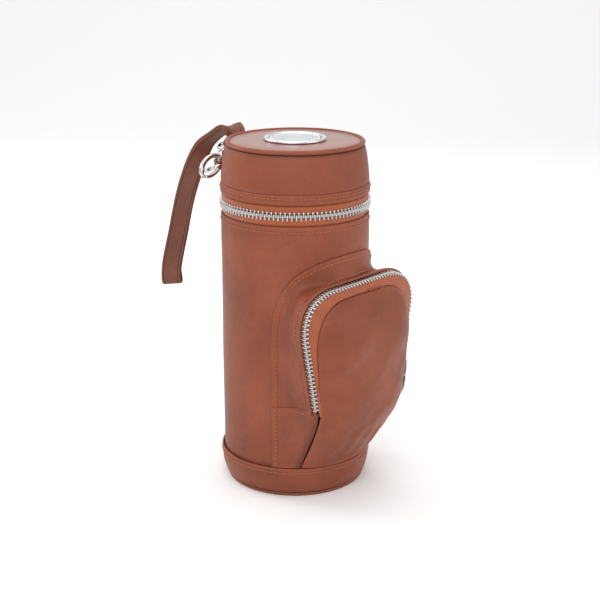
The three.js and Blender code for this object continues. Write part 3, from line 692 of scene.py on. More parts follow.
# Painted shade: the wall darkens under the rim piping at its top, and a little just above the facing at its
# foot.
shell("lid_wall_leather", lid_wall_at, 192, 22, LEATHER, leather, loop=True, body="lid",
      replaces=["lid_wall"],
      shade=lambda q: 0.75 * smoothstep(q[2], 207.6, 209.2) + 0.15 * (1 - smoothstep(q[2], 187.6, 188.4)))


def facing_at(u, v):
    z = lerp(LID_FOOT + 0.6, FACING_TOP - 0.5, v)
    r = 44.95 + 0.05 * math.sin(math.pi * v) - 0.18 * math.exp(-(((z - 185.2) / 0.7) ** 2))
    r -= 0.3 * smoothstep(v, 0.8, 1)
    return around(r, 360 * u, z)


shell("lid_facing_leather", facing_at, 192, 14, 1.2, leather, loop=True, body="lid",
      replaces=["lid_zip_facing"])
stitches("lid_facing_stitches", [around(44.93, a, 185.2) for a in ring], [around(1, a, 0) for a in ring], "lid")
lathe("lid_rim_piping",
      [(39.3, 209.9), (41.2, 209.9), (41.75, 210.5), (41.9, 211.2), (41.6, 211.9), (40.9, 212.4), (40.1, 212.5),
       (39.4, 212.2), (39.05, 211.6)], smooth_leather, corner=0.5, body="lid",
      replaces=["lid_rim"])
lathe("lid_top_leather",
      [(0, 210.2), (39.2, 210.2), (39.25, 210.9), (38.9, 211.3), (38.3, 211.45), (37.4, 211.75), (30, 211.95),
       (20, 212.05), (0, 212.1)],
      top_leather, corner=0.5, body="lid", replaces=["lid_top_panel"])
lathe("lid_top_thread",
      [(38.45, 211.1), (38.95, 211.1), (39.02, 211.45), (38.7, 211.68), (38.4, 211.5)], thread,
      corner=0.1, body="lid")
lathe("badge_rim",
      [(15.9, 212.3), (18.6, 212.3), (18.8, 212.6), (18.75, 213.2), (18.4, 213.65),
       (17.8, 213.88), (17.0, 213.85),
       (16.5, 213.6), (16.2, 213.2), (15.7, 213.1)], badge_metal, corner=0.2, body="lid",
      replaces=["badge_bezel"])
lathe("badge_face",
      [(0, 212.3), (15.2, 212.3), (15.3, 213.0), (14.6, 213.15), (13.9, 213.05), (13.5, 212.95), (8.2, 213.05),
       (7.7, 213.25), (7.2, 213.05), (0, 213.15)], badge_field, corner=0.2, body="lid",
      replaces=["badge_plate"])
beads = Pieces()
for k in range(48):
    at = around(14.6, 360 * k / 48, 213.12)
    beads.add(*tube([at - [0, 0, 0.2], at, at + [0, 0, 0.2], at + [0, 0, 0.3]], [0.42, 0.42, 0.32, 0.1], 8))
beads.make("badge_beads", badge_metal, body="lid")

INSET = LEATHER + 0.3


def tapered_wall(radii, heights, thickness):
    outside_line = list(zip(radii, heights))
    return outside_line + [(r - thickness, z) for r, z in outside_line[::-1]]


lining_r = [r - INSET - 1.5 for r in (44.5, 44.0, 43.4, 42.6)]
lathe("lid_lining_cloth",
      tapered_wall(lining_r, (182, 193.5, 199, 205.9), 0.9),
      lining_cloth, corner=0.3, body="lid", replaces=["lid_lining"])
lathe("lid_board_stock", [(0, 206.3), (39.6, 206.3), (39.6, 209.5), (0, 209.5)], lining_cloth, corner=0.4,
      body="lid", slot="board", replaces=["lid_board"])
stiff_r = [r - INSET for r in (44.2, 43.9, 43.4, 42.5)]
lathe("lid_stiffener_board",
      tapered_wall(stiff_r, (191, 194, 199, 206), 1.2),
      board_stock, body="lid", replaces=["lid_stiffener"])

# ---------- the lid's zip ----------
def tape_at(sewn, edge, teeth):
    turn = math.copysign(1, teeth - sewn)
    zs = [sewn, edge + 0.2 * turn, edge + 1.2 * turn, teeth + 0.4 * turn]
    rs = [43.05, 43.1, 44.0, 44.3]
    t = [0, 0.55, 0.7, 1]

    def at(u, v):
        return around(float(np.interp(v, t, rs)), lerp(-ZIP_END, ZIP_END, u), float(np.interp(v, t, zs)))

    return at


shell("lower_tape", tape_at(161, BODY_TOP, ZIP_Z - 1.8), 150, 20, 0.7, tape_cloth, body="case",
      replaces=["lower_zip_tape"])
shell("upper_tape", tape_at(187.2, LID_FOOT, ZIP_Z + 1.8), 150, 20, 0.7, tape_cloth, flip=True, body="lid",
      replaces=["upper_zip_tape"])
step_angle = math.degrees(TOOTH_PITCH / (ZIP_R - 1.1))
count = int((2 * ZIP_END - 2) / step_angle)
for name, sign, shift, body, node in (
    ("lower_teeth", 1, 0.0, "case", "lower_zip_chain"),
    ("upper_teeth", -1, 0.5, "lid", "upper_zip_chain"),
):
    row = Pieces()
    for k in range(count):
        a = -ZIP_END + 1.2 + (k + shift) * step_angle
        out = around(1, a, 0)
        row.add(*tooth(around(ZIP_R - 1.1, a, ZIP_Z), np.array([-out[1], out[0], 0]),
                       np.array([0, 0, sign * 1.0]), out))
    for a in (-ZIP_END - 0.4, ZIP_END + 0.4):  # end stops
        out = around(1, a, 0)
        row.add(*tooth(around(ZIP_R - 1.1, a, ZIP_Z), np.array([-out[1], out[0], 0]),
                       np.array([0, 0, sign * 1.0]), out, 2.2, 2.9, -0.15))
    row.make(name, tooth_metal, body=body, replaces=[node])


def hinge_at(u, v):
    a = lerp(ZIP_END + 2.6, 360 - ZIP_END - 2.6, u)
    z = lerp(BODY_TOP + 0.8, LID_FOOT - 0.8, v)
    return around(BODY_R + 0.15 - 0.35 * math.sin(math.pi * v) ** 2, a, z)


hinge = shell("hinge_leather", hinge_at, 60, 24, 1.2, leather,
              replaces=["lower_hinge_strip", "upper_hinge_strip"])
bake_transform(hinge)

# ---------- the pouch ----------
def bezier2(p0, p1, p2, p3, n=60):
    t = np.linspace(0, 1, n)[:, None]
    p0, p1, p2, p3 = map(np.array, (p0, p1, p2, p3))
    return (1 - t) ** 3 * p0 + 3 * t * (1 - t) ** 2 * p1 + 3 * t * t * (1 - t) * p2 + t**3 * p3


class Path:
    """A flat curve, walked by the share of its length."""

    def __init__(self, pieces):
        pts = [np.asarray(pieces[0], float)]
        for q in pieces[1:]:
            pts.append(np.asarray(q, float)[1:])
        self.p = np.concatenate(pts)
        seg = np.linalg.norm(np.diff(self.p, axis=0), axis=1)
        self.s = np.concatenate([[0], np.cumsum(seg)])
        self.length = self.s[-1]

    def at(self, u):
        m = u * self.length
        return np.array([np.interp(m, self.s, self.p[:, 0]), np.interp(m, self.s, self.p[:, 1])])

    def tangent(self, u):
        e = 0.004
        return unit(self.at(min(u + e, 1)) - self.at(max(u - e, 0)))


def flange_path():
    h, shoulder = FLANGE_HALF, 100
    return Path([
        np.linspace((-h, SEAM_Z), (-h, shoulder), 40),
        bezier2((-h, shoulder), (-h, 136), (-34, FLANGE_TOP), (0, FLANGE_TOP)),
        bezier2((0, FLANGE_TOP), (34, FLANGE_TOP), (h, 136), (h, shoulder)),
        np.linspace((h, shoulder), (h, SEAM_Z), 40),
    ])


def arch_path(foot_half, foot_z, leg_half, leg_z, top_half, top_z, bulge):
    lift = (top_z - leg_z) * 0.62
    left = bezier2((-leg_half, leg_z), (-leg_half - bulge, leg_z + lift),
                   (-lerp(top_half, leg_half, 0.75), top_z), (-top_half, top_z))
    right = left[::-1] * [-1, 1]
    return Path([
        np.linspace((-foot_half, foot_z), (-leg_half, leg_z), 40),
        left,
        np.linspace((-top_half, top_z), (top_half, top_z), 30),
        right,
        np.linspace((leg_half, leg_z), (foot_half, foot_z), 40),
    ])


flange = flange_path()
zip_path = arch_path(38.7, POUCH_ZIP_FOOT, 48.6, 108, 22, POUCH_ZIP_TOP, 2.4)
front_path = arch_path(38.4, POUCH_ZIP_FOOT, 41.6, 98, 15, 127.8, 1.0)


def on_flange(s, z, lift=0.0):
    return around(FLANGE_R + lift, math.degrees(s / FLANGE_R), z)


def outside(p, radius=FLANGE_R):
    r = math.hypot(p[0], p[1])
    if r < radius:
        p = p.copy()
        p[0] *= radius / r
        p[1] *= radius / r
    return p


def bezier(p0, p1, p2, p3, t):
    return (1 - t) ** 3 * p0 + 3 * t * (1 - t) ** 2 * p1 + 3 * t * t * (1 - t) * p2 + t**3 * p3


def on_zip(u, across, height):
    p, t = zip_path.at(u), zip_path.tangent(u)
    lift = height - 0.02 * (across + 5) ** 2
    return np.array([p[0] - t[1] * lift, -POUCH_ZIP_Y - across * 0.97, p[1] + t[0] * lift])


def gusset_at(u, v):
    o = flange.at(u)
    rise = smoothstep(o[1], SEAM_Z, 105)
    inward = unit(np.array([0, lerp(o[1] + 5, 95, rise)]) - o) * 11
    p3 = on_zip(u, -4.3, 0)
    z2 = lerp(lerp(o[1], p3[2], 0.8), p3[2] * 0.995 + 0.6, rise)
    p2 = outside(np.array([p3[0] * 0.965, -36, z2]), FLANGE_R + 0.6)
    p = bezier(on_flange(*o), on_flange(o[0] + inward[0], o[1] + inward[1]), p2, p3, v)
    soft = math.sin(math.pi * min(max((v - 0.2) / 0.8, 0), 1))
    p = outside(p)
    away = unit([p[0], p[1] * 0.2, (p[2] - 95) * 0.5])
    return outside(p + away * soft * (0.45 * ripple(p, 26, 3.1) + 0.25 * ripple(p, 13, 0.9)))


# Painted shade: the gusset darkens in a band a few millimetres out from the body's surface.
shell("pouch_gusset_leather", gusset_at, 220, 36, 1.0, leather, flip=True, body="case",
      replaces=["pouch_gusset"],
      shade=lambda q: 0.35 * max(0, 1 - max(0, math.hypot(q[0], q[1]) - FLANGE_R - 2.5) / 6)
      * smoothstep(math.hypot(q[0], q[1]), FLANGE_R + 0.6, FLANGE_R + 2.5) * 0.6)
path_u = np.linspace(0.004, 0.996, 240)


def inset_flange(u, inset):
    o, t = flange.at(u), flange.tangent(u)
    return on_flange(o[0] + t[1] * inset, o[1] - t[0] * inset, 0.0)


stitches("pouch_flange_stitches", [inset_flange(u, 2.4) for u in path_u],
         [unit([*inset_flange(u, 2.4)[:2], 0]) for u in path_u], "case")


def beside_welt(u, inset=3.4):
    """A point on the gusset beside the welt, and the outward normal there."""
    edge = gusset_at(u, 1)
    v = 0.97
    while v > 0.5 and np.linalg.norm(gusset_at(u, v) - edge) < inset:
        v -= 0.01
    p = gusset_at(u, v)
    along = gusset_at(min(u + 0.004, 1), v) - gusset_at(max(u - 0.004, 0), v)
    n = unit(np.cross(along, gusset_at(u, v + 0.02) - p))
    return p, -n


row = [beside_welt(u) for u in np.linspace(0.004, 0.996, 200)]
stitches("pouch_welt_stitches", [p for p, _ in row], [n for _, n in row], "case")


def ribbon_at(low, high, height, bend=0.0):
    def at(u, v):
        return on_zip(lerp(0.002, 0.998, u), lerp(low, high, v), height + bend * math.sin(math.pi * v))

    return at


shell("pouch_welt_leather", ribbon_at(-4.7, -2.3, 1.75, 0.35), 200, 8, 1.0, smooth_leather,
      flip=True, body="case",
      replaces=["pouch_zip_welt"])
shell("pouch_rear_tape_cloth", ribbon_at(-4.0, -1.6, 0.0), 200, 8, 0.7, tape_cloth, flip=True, body="case",
      replaces=["pouch_rear_tape"])
pouch_count = int((zip_path.length - 6) / TOOTH_PITCH)
for name, sign, shift, body, node in (
    ("pouch_rear_teeth", 1, 0.0, "case", "pouch_rear_chain"),
    ("pouch_front_teeth", -1, 0.5, "pouch_front", "pouch_front_chain"),
):
    row = Pieces()
    for k in range(pouch_count):
        u = (3 + (k + shift) * TOOTH_PITCH) / zip_path.length
        at, near = on_zip(u, 0, 0), on_zip(u, 0.1 * sign, 0)
        x = unit(on_zip(u + 0.002, 0, 0) - on_zip(u - 0.002, 0, 0))
        y = unit(near - at)
        row.add(*tooth(at, x, y, unit(np.cross(x, y)) * sign, reach=2.6, deep=1.8))
    row.make(name, tooth_metal, body=body, replaces=[node])


def front_edge(u, lift):
    f, t = front_path.at(u), front_path.tangent(u)
    return np.array([f[0] - t[1] * lift, -FRONT_EDGE_Y + 0.4, f[1] + t[0] * lift])


def front_tape_at(u, v):
    w = lerp(0.002, 0.998, u)
    near = on_zip(w, 1.7, 0.0)
    far = front_edge(w, 0.5)
    return lerp(near, far, v)


shell("pouch_front_tape_cloth", front_tape_at, 200, 12, 0.7, tape_cloth, flip=True, body="pouch_front",
      replaces=["pouch_front_tape"])


def front_depth(z):
    fullest = 92
    if z >= fullest:
        t = (z - fullest) / (front_path.at(0.5)[1] - fullest)
        return FRONT_EDGE_Y + (POUCH_DEPTH - FRONT_EDGE_Y) * max(1 - t**2.6, 0) ** 0.6
    if z >= FOLD_Z:
        return lerp(FOLD_DEPTH, POUCH_DEPTH, math.sin((z - FOLD_Z) / 32 * math.pi / 2))
    t = min(max((FOLD_Z - z) / 38, 0), 1)
    return lerp(FOLD_DEPTH, FLANGE_R + 0.2, t**1.5)


def lower_edge(t):
    foot = around(FLANGE_R, SIDE_FOOT_ANGLE, BAND_TOP + 0.6)
    return np.array([lerp(38.9, foot[0], t), lerp(-FRONT_EDGE_Y, foot[1], t**1.15),
                     lerp(FOLD_Z - 0.4, foot[2], t)])


def front_row(edge, x, power):
    middle = front_depth(edge[2])
    depth = lerp(-edge[1], middle, (1 - abs(x) ** power) ** 0.8)
    return outside(np.array([edge[0] * x, -depth, edge[2]]))


def front_panel_at(u, v):
    """The pouch's front, from the base band (v 0) over the fold to the zip (v 1)."""
    x = 2 * u - 1
    fold = 0.36
    if v < fold:
        t = 1 - v / fold
        p = front_row(lower_edge(t), x, lerp(2.7, 2.2, t))
    else:
        w = (v - fold) / (1 - fold)
        along = front_path.at(1 - w / 2)
        power = lerp(2.7, 3.8, smoothstep(along[1], 84, 102))
        p = front_row(np.array([max(along[0], 15), -FRONT_EDGE_Y, along[1]]), x, power)
    # slack leather: broad puckers above the band and by the zip's feet
    edge = min(1, (1 - abs(x)) * 5) * smoothstep(v, 0, 0.05) * (1 - smoothstep(v, 0.93, 1))
    d = 0.5 * ripple(p, 34, 5.2) + 0.22 * ripple(p, 15, 1.1)
    z = p[2]
    gathers = math.sin(p[0] * 0.52 + 0.4 * math.sin(p[2] * 0.1)) * math.exp(-(((z - 34) / 11) ** 2)) * 0.55
    crease = 0
    for s in (-1, 1):
        within = smoothstep(s * p[0], 8, 26) * (1 - smoothstep(s * p[0], 28, 37))
        crease -= 0.55 * math.exp(-(((z - 57 - (38 - s * p[0]) * 0.16) / 2.2) ** 2)) * within
        crease += 0.45 * math.exp(-(((z - 64 - (38 - s * p[0]) * 0.3) / 3.0) ** 2)) * within
    out = unit([p[0] * 0.35, p[1], 0])
    return outside(p + out * edge * (d + gathers + crease), FLANGE_R)


front = shell("pouch_front_leather", front_panel_at, 130, 110, 1.25, leather,
              replaces=["pouch_front_upper", "pouch_front_lower"], edge_wear=0.4)
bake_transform(front)


def side_panel_at(s):
    def at(u, v):
        edge = lower_edge(v)
        foot = lerp(SEAM_Z - 0.5, BAND_TOP + 0.6, v)
        p0 = on_flange(s * FLANGE_HALF, foot)
        p1 = on_flange(s * (FLANGE_HALF - 11), lerp(foot, edge[2], 0.3))
        p3 = np.array([s * (edge[0] + 0.1), edge[1] + 1.9, edge[2]])
        drawn = lerp(-39, p3[1] + 6, v)
        p2 = np.array([s * lerp(42, edge[0] + 2, v), drawn, lerp(foot, edge[2], 0.8)])
        p = outside(bezier(p0, p1, outside(p2), p3, u))
        soft = math.sin(math.pi * u) * math.sin(math.pi * min(v * 1.1, 1))
        p = p + unit([p[0], p[1], 0]) * soft * 0.5 * ripple(p, 24, 2.0 + s)
        # the top edge laps over the gusset's foot
        foot_end = gusset_at((s + 1) / 2, 1)
        along = u / 0.8
        lap = gusset_at((s + 1) / 2, along) if along < 1 else lerp(foot_end, p3 + [0, 0, 1.4], (u - 0.8) / 0.2)
        lap = lap + unit([lap[0], lap[1] * 0.2, 0]) * 0.75 + np.array([0, 0, 1.3])
        return outside(lerp(lap, p, smoothstep(v, 0.0, 0.2)))

    return at


def side_tuck_painted_shade(q):
    """Painted shade: the side panels darken where they tuck in behind the front's edge."""
    t = min(max((FOLD_Z - q[2]) / (FOLD_Z - BAND_TOP), 0), 1)
    edge = lower_edge(t)[1]
    return 0.7 * (1 - smoothstep(q[1] - edge, 2.2, 6.5))


for s, side in ((-1, "left"), (1, "right")):
    shell("pouch_side_leather_" + side, side_panel_at(s), 40, 40, 0.9, leather, flip=s < 0, body="case",
          replaces=["pouch_side_" + side], shade=side_tuck_painted_shade)
    seam = [side_panel_at(s)(u, 0.075) for u in np.linspace(0.02, 0.97, 40)]
    stitches("pouch_seam_stitches_" + side, seam, [unit([q[0], q[1], 0]) for q in seam], "case")
    edge = [side_panel_at(s)(0.06, v) for v in np.linspace(0.02, 0.98, 40)]
    stitches("pouch_side_stitches_" + side, edge, [unit([q[0], q[1], 0]) for q in edge], "case")


# ---------- sliders and pullers ----------
def slab(outline, z0, z1, bevel=0.28):
    """A flat plate with rounded edges from an outline of (x, y)."""
    p = np.asarray(outline, float)
    centre = p.mean(0)
    n = len(p)
    nxt, prv = np.roll(p, -1, 0), np.roll(p, 1, 0)
    t = nxt - prv
    t /= np.linalg.norm(t, axis=1, keepdims=True)
    inward = np.stack([-t[:, 1], t[:, 0]], 1)
    if ((centre - p) * inward).sum() < 0:
        inward = -inward
    rings = []
    for a in (0, 30, 60, 90):
        k = math.radians(a)
        rings.append((p + inward * bevel * (1 - math.sin(k)), z0 + bevel * (1 - math.cos(k))))
    for a in (90, 60, 30, 0):
        k = math.radians(a)
        rings.append((p + inward * bevel * (1 - math.sin(k)), z1 - bevel * (1 - math.cos(k))))
    verts = [np.array([q[0], q[1], z]) for r, z in rings for q in r]
    area = 0.5 * sum(p[i][0] * nxt[i][1] - nxt[i][0] * p[i][1] for i in range(n))
    faces = ring_faces(len(rings), n) + end_caps(len(rings), n)
    if area < 0:
        faces = [f[::-1] for f in faces]
    return verts, faces


def placed(verts, origin, x, y, z):
    return [origin + x * v[0] + y * v[1] + z * v[2] for v in verts]


def rounded(points, r=0.6, steps=4):
    out = []
    n = len(points)
    pts = [np.array(q, float) for q in points]
    for k in range(n):
        q, a, b = pts[k], pts[k - 1], pts[(k + 1) % n]
        ra = min(r, np.linalg.norm(a - q) * 0.45)
        rb = min(r, np.linalg.norm(b - q) * 0.45)
        s, e = q + unit(a - q) * ra, q + unit(b - q) * rb
        for t in np.linspace(0, 1, steps):
            out.append((1 - t) ** 2 * s + 2 * t * (1 - t) * q + t * t * e)
    return out


def make_slider(name, body, puller_body, node, puller_node, centre, along, outward,
                out_clear, in_clear, length):
    across = np.cross(outward, along)
    plate = rounded([(-5.5, -2.7), (-3, -4.3), (5.5, -3.3), (5.5, 3.3), (-3, 4.3), (-5.5, 2.7)], 0.9)
    form = Pieces()
    form.add(*slab(plate, out_clear, out_clear + 1.3, 0.4))
    form.add(*slab(plate, -in_clear - 1.3, -in_clear, 0.4))
    post = rounded([(-0.6, -0.25), (3.0, -0.25), (3.0, 0.25), (-0.6, 0.25)], 0.1)
    form.add(*slab(post, -in_clear - 0.4, out_clear + 0.4, 0.05))
    top = out_clear + 1.3
    arch = [(-3.9, 0, top - 0.2), (-3.8, 0, top + 1.2), (-3.2, 0, top + 2.1),
            (-1.8, 0, top + 2.45), (0, 0, top + 2.5),
            (1.8, 0, top + 2.45), (3.2, 0, top + 2.1), (3.8, 0, top + 1.2), (3.9, 0, top - 0.2)]
    spine = []
    for a, b in zip(arch, arch[1:]):
        for t in (0, 0.34, 0.67):
            spine.append(lerp(np.array(a, float), np.array(b, float), t))
    spine.append(np.array(arch[-1], float))
    verts, faces = tube(spine, 0.42, 10)
    verts = [v * [1, 2.0, 1] for v in verts]
    form.add(verts, faces)
    form.verts = placed(form.verts, centre, along, across, outward)
    form.make(name + "_body", nickel, body=body, replaces=[node])
    pull = Pieces()
    hang = centre + outward * (out_clear + 1.3 + 1.05)
    end = -length
    outline = [(0.4, 2.2), (0.45, 1.9), (0.45, -1.9), (0.4, -2.2), (0, -2.5)]
    outline += [(x, -2.15 - 0.5 * math.sin(math.pi * min(1, -x / length * 0.9)))
                for x in np.linspace(-1, end + 3.2, 14)]
    outline += [(end + 2.6 + 2.65 * math.cos(a), 2.65 * math.sin(a))
                for a in np.linspace(math.radians(262), math.radians(98), 14)]
    outline += [(x, 2.15 + 0.5 * math.sin(math.pi * min(1, -x / length * 0.9)))
                for x in np.linspace(end + 3.2, -1, 14)]
    outline += [(0, 2.5)]
    hole = rounded([(-0.5, 1.35), (-5, 1.35), (-5, -1.35), (-0.5, -1.35)], 0.5, 5)
    pull.add(*plate_with_hole(outline, hole, 1.0))
    pull.verts = placed(pull.verts, hang, along, across, outward)
    pull.make(name + "_pull", nickel, body=puller_body, replaces=[puller_node])


def plate_with_hole(outline, hole, thickness, bevel=0.22):
    """A flat plate of even thickness with one hole.

    Outline and hole are walked by angle about the hole's middle."""
    o, h = np.array(outline, float), np.array(hole, float)
    c = h.mean(0)
    angles = np.radians(np.arange(0, 360, 5))

    def hit(poly, a):
        d = np.array([math.cos(a), math.sin(a)])
        best = 0
        for p, q in zip(poly, np.roll(poly, -1, 0)):
            e = q - p
            m = np.array([[d[0], -e[0]], [d[1], -e[1]]])
            det = m[0, 0] * m[1, 1] - m[0, 1] * m[1, 0]
            if abs(det) < 1e-12:
                continue
            w = p - c
            t = (w[0] * m[1, 1] - m[0, 1] * w[1]) / det
            s = (m[0, 0] * w[1] - m[1, 0] * w[0]) / det
            if t > 0 and -1e-6 <= s <= 1 + 1e-6:
                best = max(best, t)
        return c + d * best

    ro = np.array([hit(o, a) for a in angles])
    rh = np.array([hit(h, a) for a in angles])
    n = len(angles)
    toward = (rh - ro) / np.linalg.norm(rh - ro, axis=1, keepdims=True)
    h2 = thickness / 2
    rings = [
        (ro + toward * bevel, -h2), (ro + toward * bevel * 0.3, -h2 + bevel * 0.3),
        (ro, -h2 + bevel), (ro, h2 - bevel),
        (ro + toward * bevel * 0.3, h2 - bevel * 0.3), (ro + toward * bevel, h2),
        (rh - toward * bevel, h2), (rh, h2 - bevel), (rh, -h2 + bevel), (rh - toward * bevel, -h2),
    ]
    verts = [np.array([q[0], q[1], z]) for r, z in rings for q in r]
    return verts, ring_faces(len(rings), n, True)


SLIDER_ANGLE = 137
out = around(1, SLIDER_ANGLE, 0)
make_slider("main_slider", "main_slider", "main_puller", "main_slider", "main_puller",
            around(ZIP_R - 1, SLIDER_ANGLE, ZIP_Z), np.array([out[1], -out[0], 0]),
            out, 2.2, 2.4, 17)
slider_u = 1 - 9 / zip_path.length
slider_at = on_zip(slider_u, 0, 0)
up = unit(on_zip(slider_u - 0.02, 0, 0) - slider_at)
over = unit(on_zip(slider_u, 1, 0) - on_zip(slider_u, -1, 0))
make_slider("pouch_slider", "pouch_slider", "pouch_puller", "pouch_slider", "pouch_puller",
            slider_at, up, unit(np.cross(up, over)), 1.9, 2.9, 15)

# ---------- D-ring, tab, clasp and strap ----------
def smooth_curve(points, n, closed=False):
    """A centripetal Catmull-Rom curve through points, n even steps of its length."""
    p = [np.array(q, float) for q in points]
    if closed:
        p = [p[-1]] + p + [p[0], p[1]]
    else:
        p = [2 * p[0] - p[1]] + p + [2 * p[-1] - p[-2]]
    out = []
    for k in range(1, len(p) - 2):
        a, b, c, d = p[k - 1 : k + 3]
        t0 = 0
        t1 = t0 + np.linalg.norm(b - a) ** 0.5
        t2 = t1 + np.linalg.norm(c - b) ** 0.5
        t3 = t2 + np.linalg.norm(d - c) ** 0.5
        for t in np.linspace(t1, t2, 24, endpoint=False):
            a1 = (t1 - t) / (t1 - t0) * a + (t - t0) / (t1 - t0) * b
            a2 = (t2 - t) / (t2 - t1) * b + (t - t1) / (t2 - t1) * c
            a3 = (t3 - t) / (t3 - t2) * c + (t - t2) / (t3 - t2) * d
            b1 = (t2 - t) / (t2 - t0) * a1 + (t - t0) / (t2 - t0) * a2
            b2 = (t3 - t) / (t3 - t1) * a2 + (t - t1) / (t3 - t1) * a3
            out.append((t2 - t) / (t2 - t1) * b1 + (t - t1) / (t2 - t1) * b2)
    out.append(p[-2])
    out = np.array(out)
    s = np.concatenate([[0], np.cumsum(np.linalg.norm(np.diff(out, axis=0), axis=1))])
    marks = np.linspace(0, s[-1], n, endpoint=not closed)
    return np.stack([np.interp(marks, s, out[:, k]) for k in range(3)], 1)


tab_out = around(1, -TAB_ANGLE, 0)
tab_along = np.array([-tab_out[1], tab_out[0], 0])
tab_centre = RING_BAR_R - 44.3
tab_line = [(1.2, -9), (1.2, -7), (1.2, -4.6)]
tab_line += [(tab_centre + 2.3 * math.cos(a), 2.3 * math.sin(a))
             for a in np.linspace(-math.pi / 2, math.pi / 2, 14)]
tab_line += [(2.6, 4.6), (2.6, 7), (2.6, 9)]
tab_line = smooth_curve([(a, b, 0) for a, b in tab_line], 60)


def tab_at(u, v):
    k = u * (len(tab_line) - 1)
    i = min(int(k), len(tab_line) - 2)
    q = lerp(tab_line[i], tab_line[i + 1], k - i)
    t = unit(tab_line[i + 1] - tab_line[i])
    outward = q[0] + t[1] * 0.5
    height = q[1] - t[0] * 0.5
    return tab_out * (44.3 + outward) + np.array([0, 0, RING_Z + height]) + tab_along * (v - 0.5) * TAB_WIDTH


shell("ring_tab_leather", tab_at, 59, 8, 1.0, leather, flip=True, body="lid", replaces=["ring_tab"])

reach = unit(tab_out * 0.93 + np.array([0, 0, -0.36]))
ring_middle = around(RING_BAR_R, -TAB_ANGLE, RING_Z)
d_outline = [(-6.2, 0), (0, 0), (6.2, 0), (8, 1.4), (8.2, 6), (6.8, 10.6),
             (0, 14), (-6.8, 10.6), (-8.2, 6), (-8, 1.4)]
ring_curve = smooth_curve([ring_middle + tab_along * a + reach * r for a, r in d_outline], 96, True)
ring_wire = Pieces().add(*tube(ring_curve, 1.15, 16, True))
ring_wire.make("d_ring_wire", nickel, body="d_ring", replaces=["d_ring"])


def in_clasp(q):
    return EYE + CLASP_X * q[0] + CLASP_Y * q[1] + CLASP_Z * q[2]


CENTRE, LONG, WIDE = 25, 10.5, 6.6


def sweep_oval(a0, a1, n, outer, inner, deep):
    """A rounded bar along the clasp's oval; outer and inner are its reach from the oval, deep its thickness."""
    verts = []
    sides = 14
    for i in range(n + 1):
        a = lerp(a0, a1, i / n)
        o = np.array([CENTRE + (LONG + outer(a)) * math.cos(a), (WIDE + outer(a)) * math.sin(a)])
        q = np.array([CENTRE + (LONG + inner(a)) * math.cos(a), (WIDE + inner(a)) * math.sin(a)])
        m, h = (o + q) / 2, (o - q) / 2
        for s in range(sides):
            t = 2 * math.pi * s / sides
            c, d = math.cos(t), math.sin(t)
            c = math.copysign(abs(c) ** 0.7, c)
            d = math.copysign(abs(d) ** 0.7, d)
            verts.append(np.array([m[0] + h[0] * c, m[1] + h[1] * c, deep(a) / 2 * d]))
    return verts, ring_faces(n + 1, sides) + end_caps(n + 1, sides)


def turned_x(profile, sides=28):
    """A solid turned about the clasp's own axis, from (x, radius) pairs."""
    verts = []
    for x, r in profile:
        for s in range(sides):
            a = 2 * math.pi * s / sides
            verts.append(np.array([x, r * math.cos(a), r * math.sin(a)]))
    n = len(profile)
    faces = ring_faces(n, sides) + end_caps(n, sides)
    return verts, [f[::-1] for f in faces]


def disc_z(x, y, r, z0, z1, sides=24):
    turns = [2 * math.pi * k / sides for k in range(sides)]
    outline = [(x + r * math.cos(a), y + r * math.sin(a)) for a in turns]
    return slab(outline, z0, z1, min(0.25, (z1 - z0) * 0.4))


pivot = np.array([CENTRE + (LONG - 1.3) * math.cos(2.45), (WIDE - 1.3) * math.sin(2.45)])


def nose(a):
    return smoothstep(a, -0.5, 0.42)


claw = Pieces()
claw.add(*sweep_oval(0.42, -3.45, 60, lambda a: 0, lambda a: -3 + 1.9 * nose(a), lambda a: 3.4 - 0.6 * nose(a)))
claw.add(*turned_x([(9.4, 2.4), (9.6, 2.9), (10.2, 3.1), (11.2, 3.1), (11.5, 2.85),
                    (12.0, 2.85), (12.3, 3.1), (14.4, 3.05),
                    (15.0, 2.8), (15.4, 2.3)]))
for z0, z1 in ((-2.7, -1.8), (1.8, 2.7)):
    claw.add(*disc_z(pivot[0], pivot[1], 2.2, z0, z1))
    claw.add(*slab(rounded([(pivot[0] - 3.2, pivot[1] - 4.2), (pivot[0] + 1.2, pivot[1] - 4.2),
                            (pivot[0] + 2, pivot[1]),
                            (pivot[0] - 2, pivot[1])], 0.8), z0, z1, 0.25))
claw.move(in_clasp)
claw.make("clasp_claw", nickel, body="clasp", replaces=["clasp_body"])
pin = Pieces().add(*disc_z(pivot[0], pivot[1], 0.75, -3.0, 3.0))
pin.move(in_clasp)
pin.make("clasp_pin", tooth_metal, body="clasp", replaces=["gate_pin"])
gate = Pieces()
gate.add(*sweep_oval(0.5, 2.4, 36, lambda a: -0.2 - 0.25 * smoothstep(-a, -0.9, -0.5),
                     lambda a: -2.4, lambda a: 2.8))
gate.add(*disc_z(pivot[0], pivot[1], 2.0, -1.4, 1.4))
gate.move(in_clasp)
gate.make("clasp_gate_lever", nickel, body="clasp_gate", replaces=["clasp_gate"])

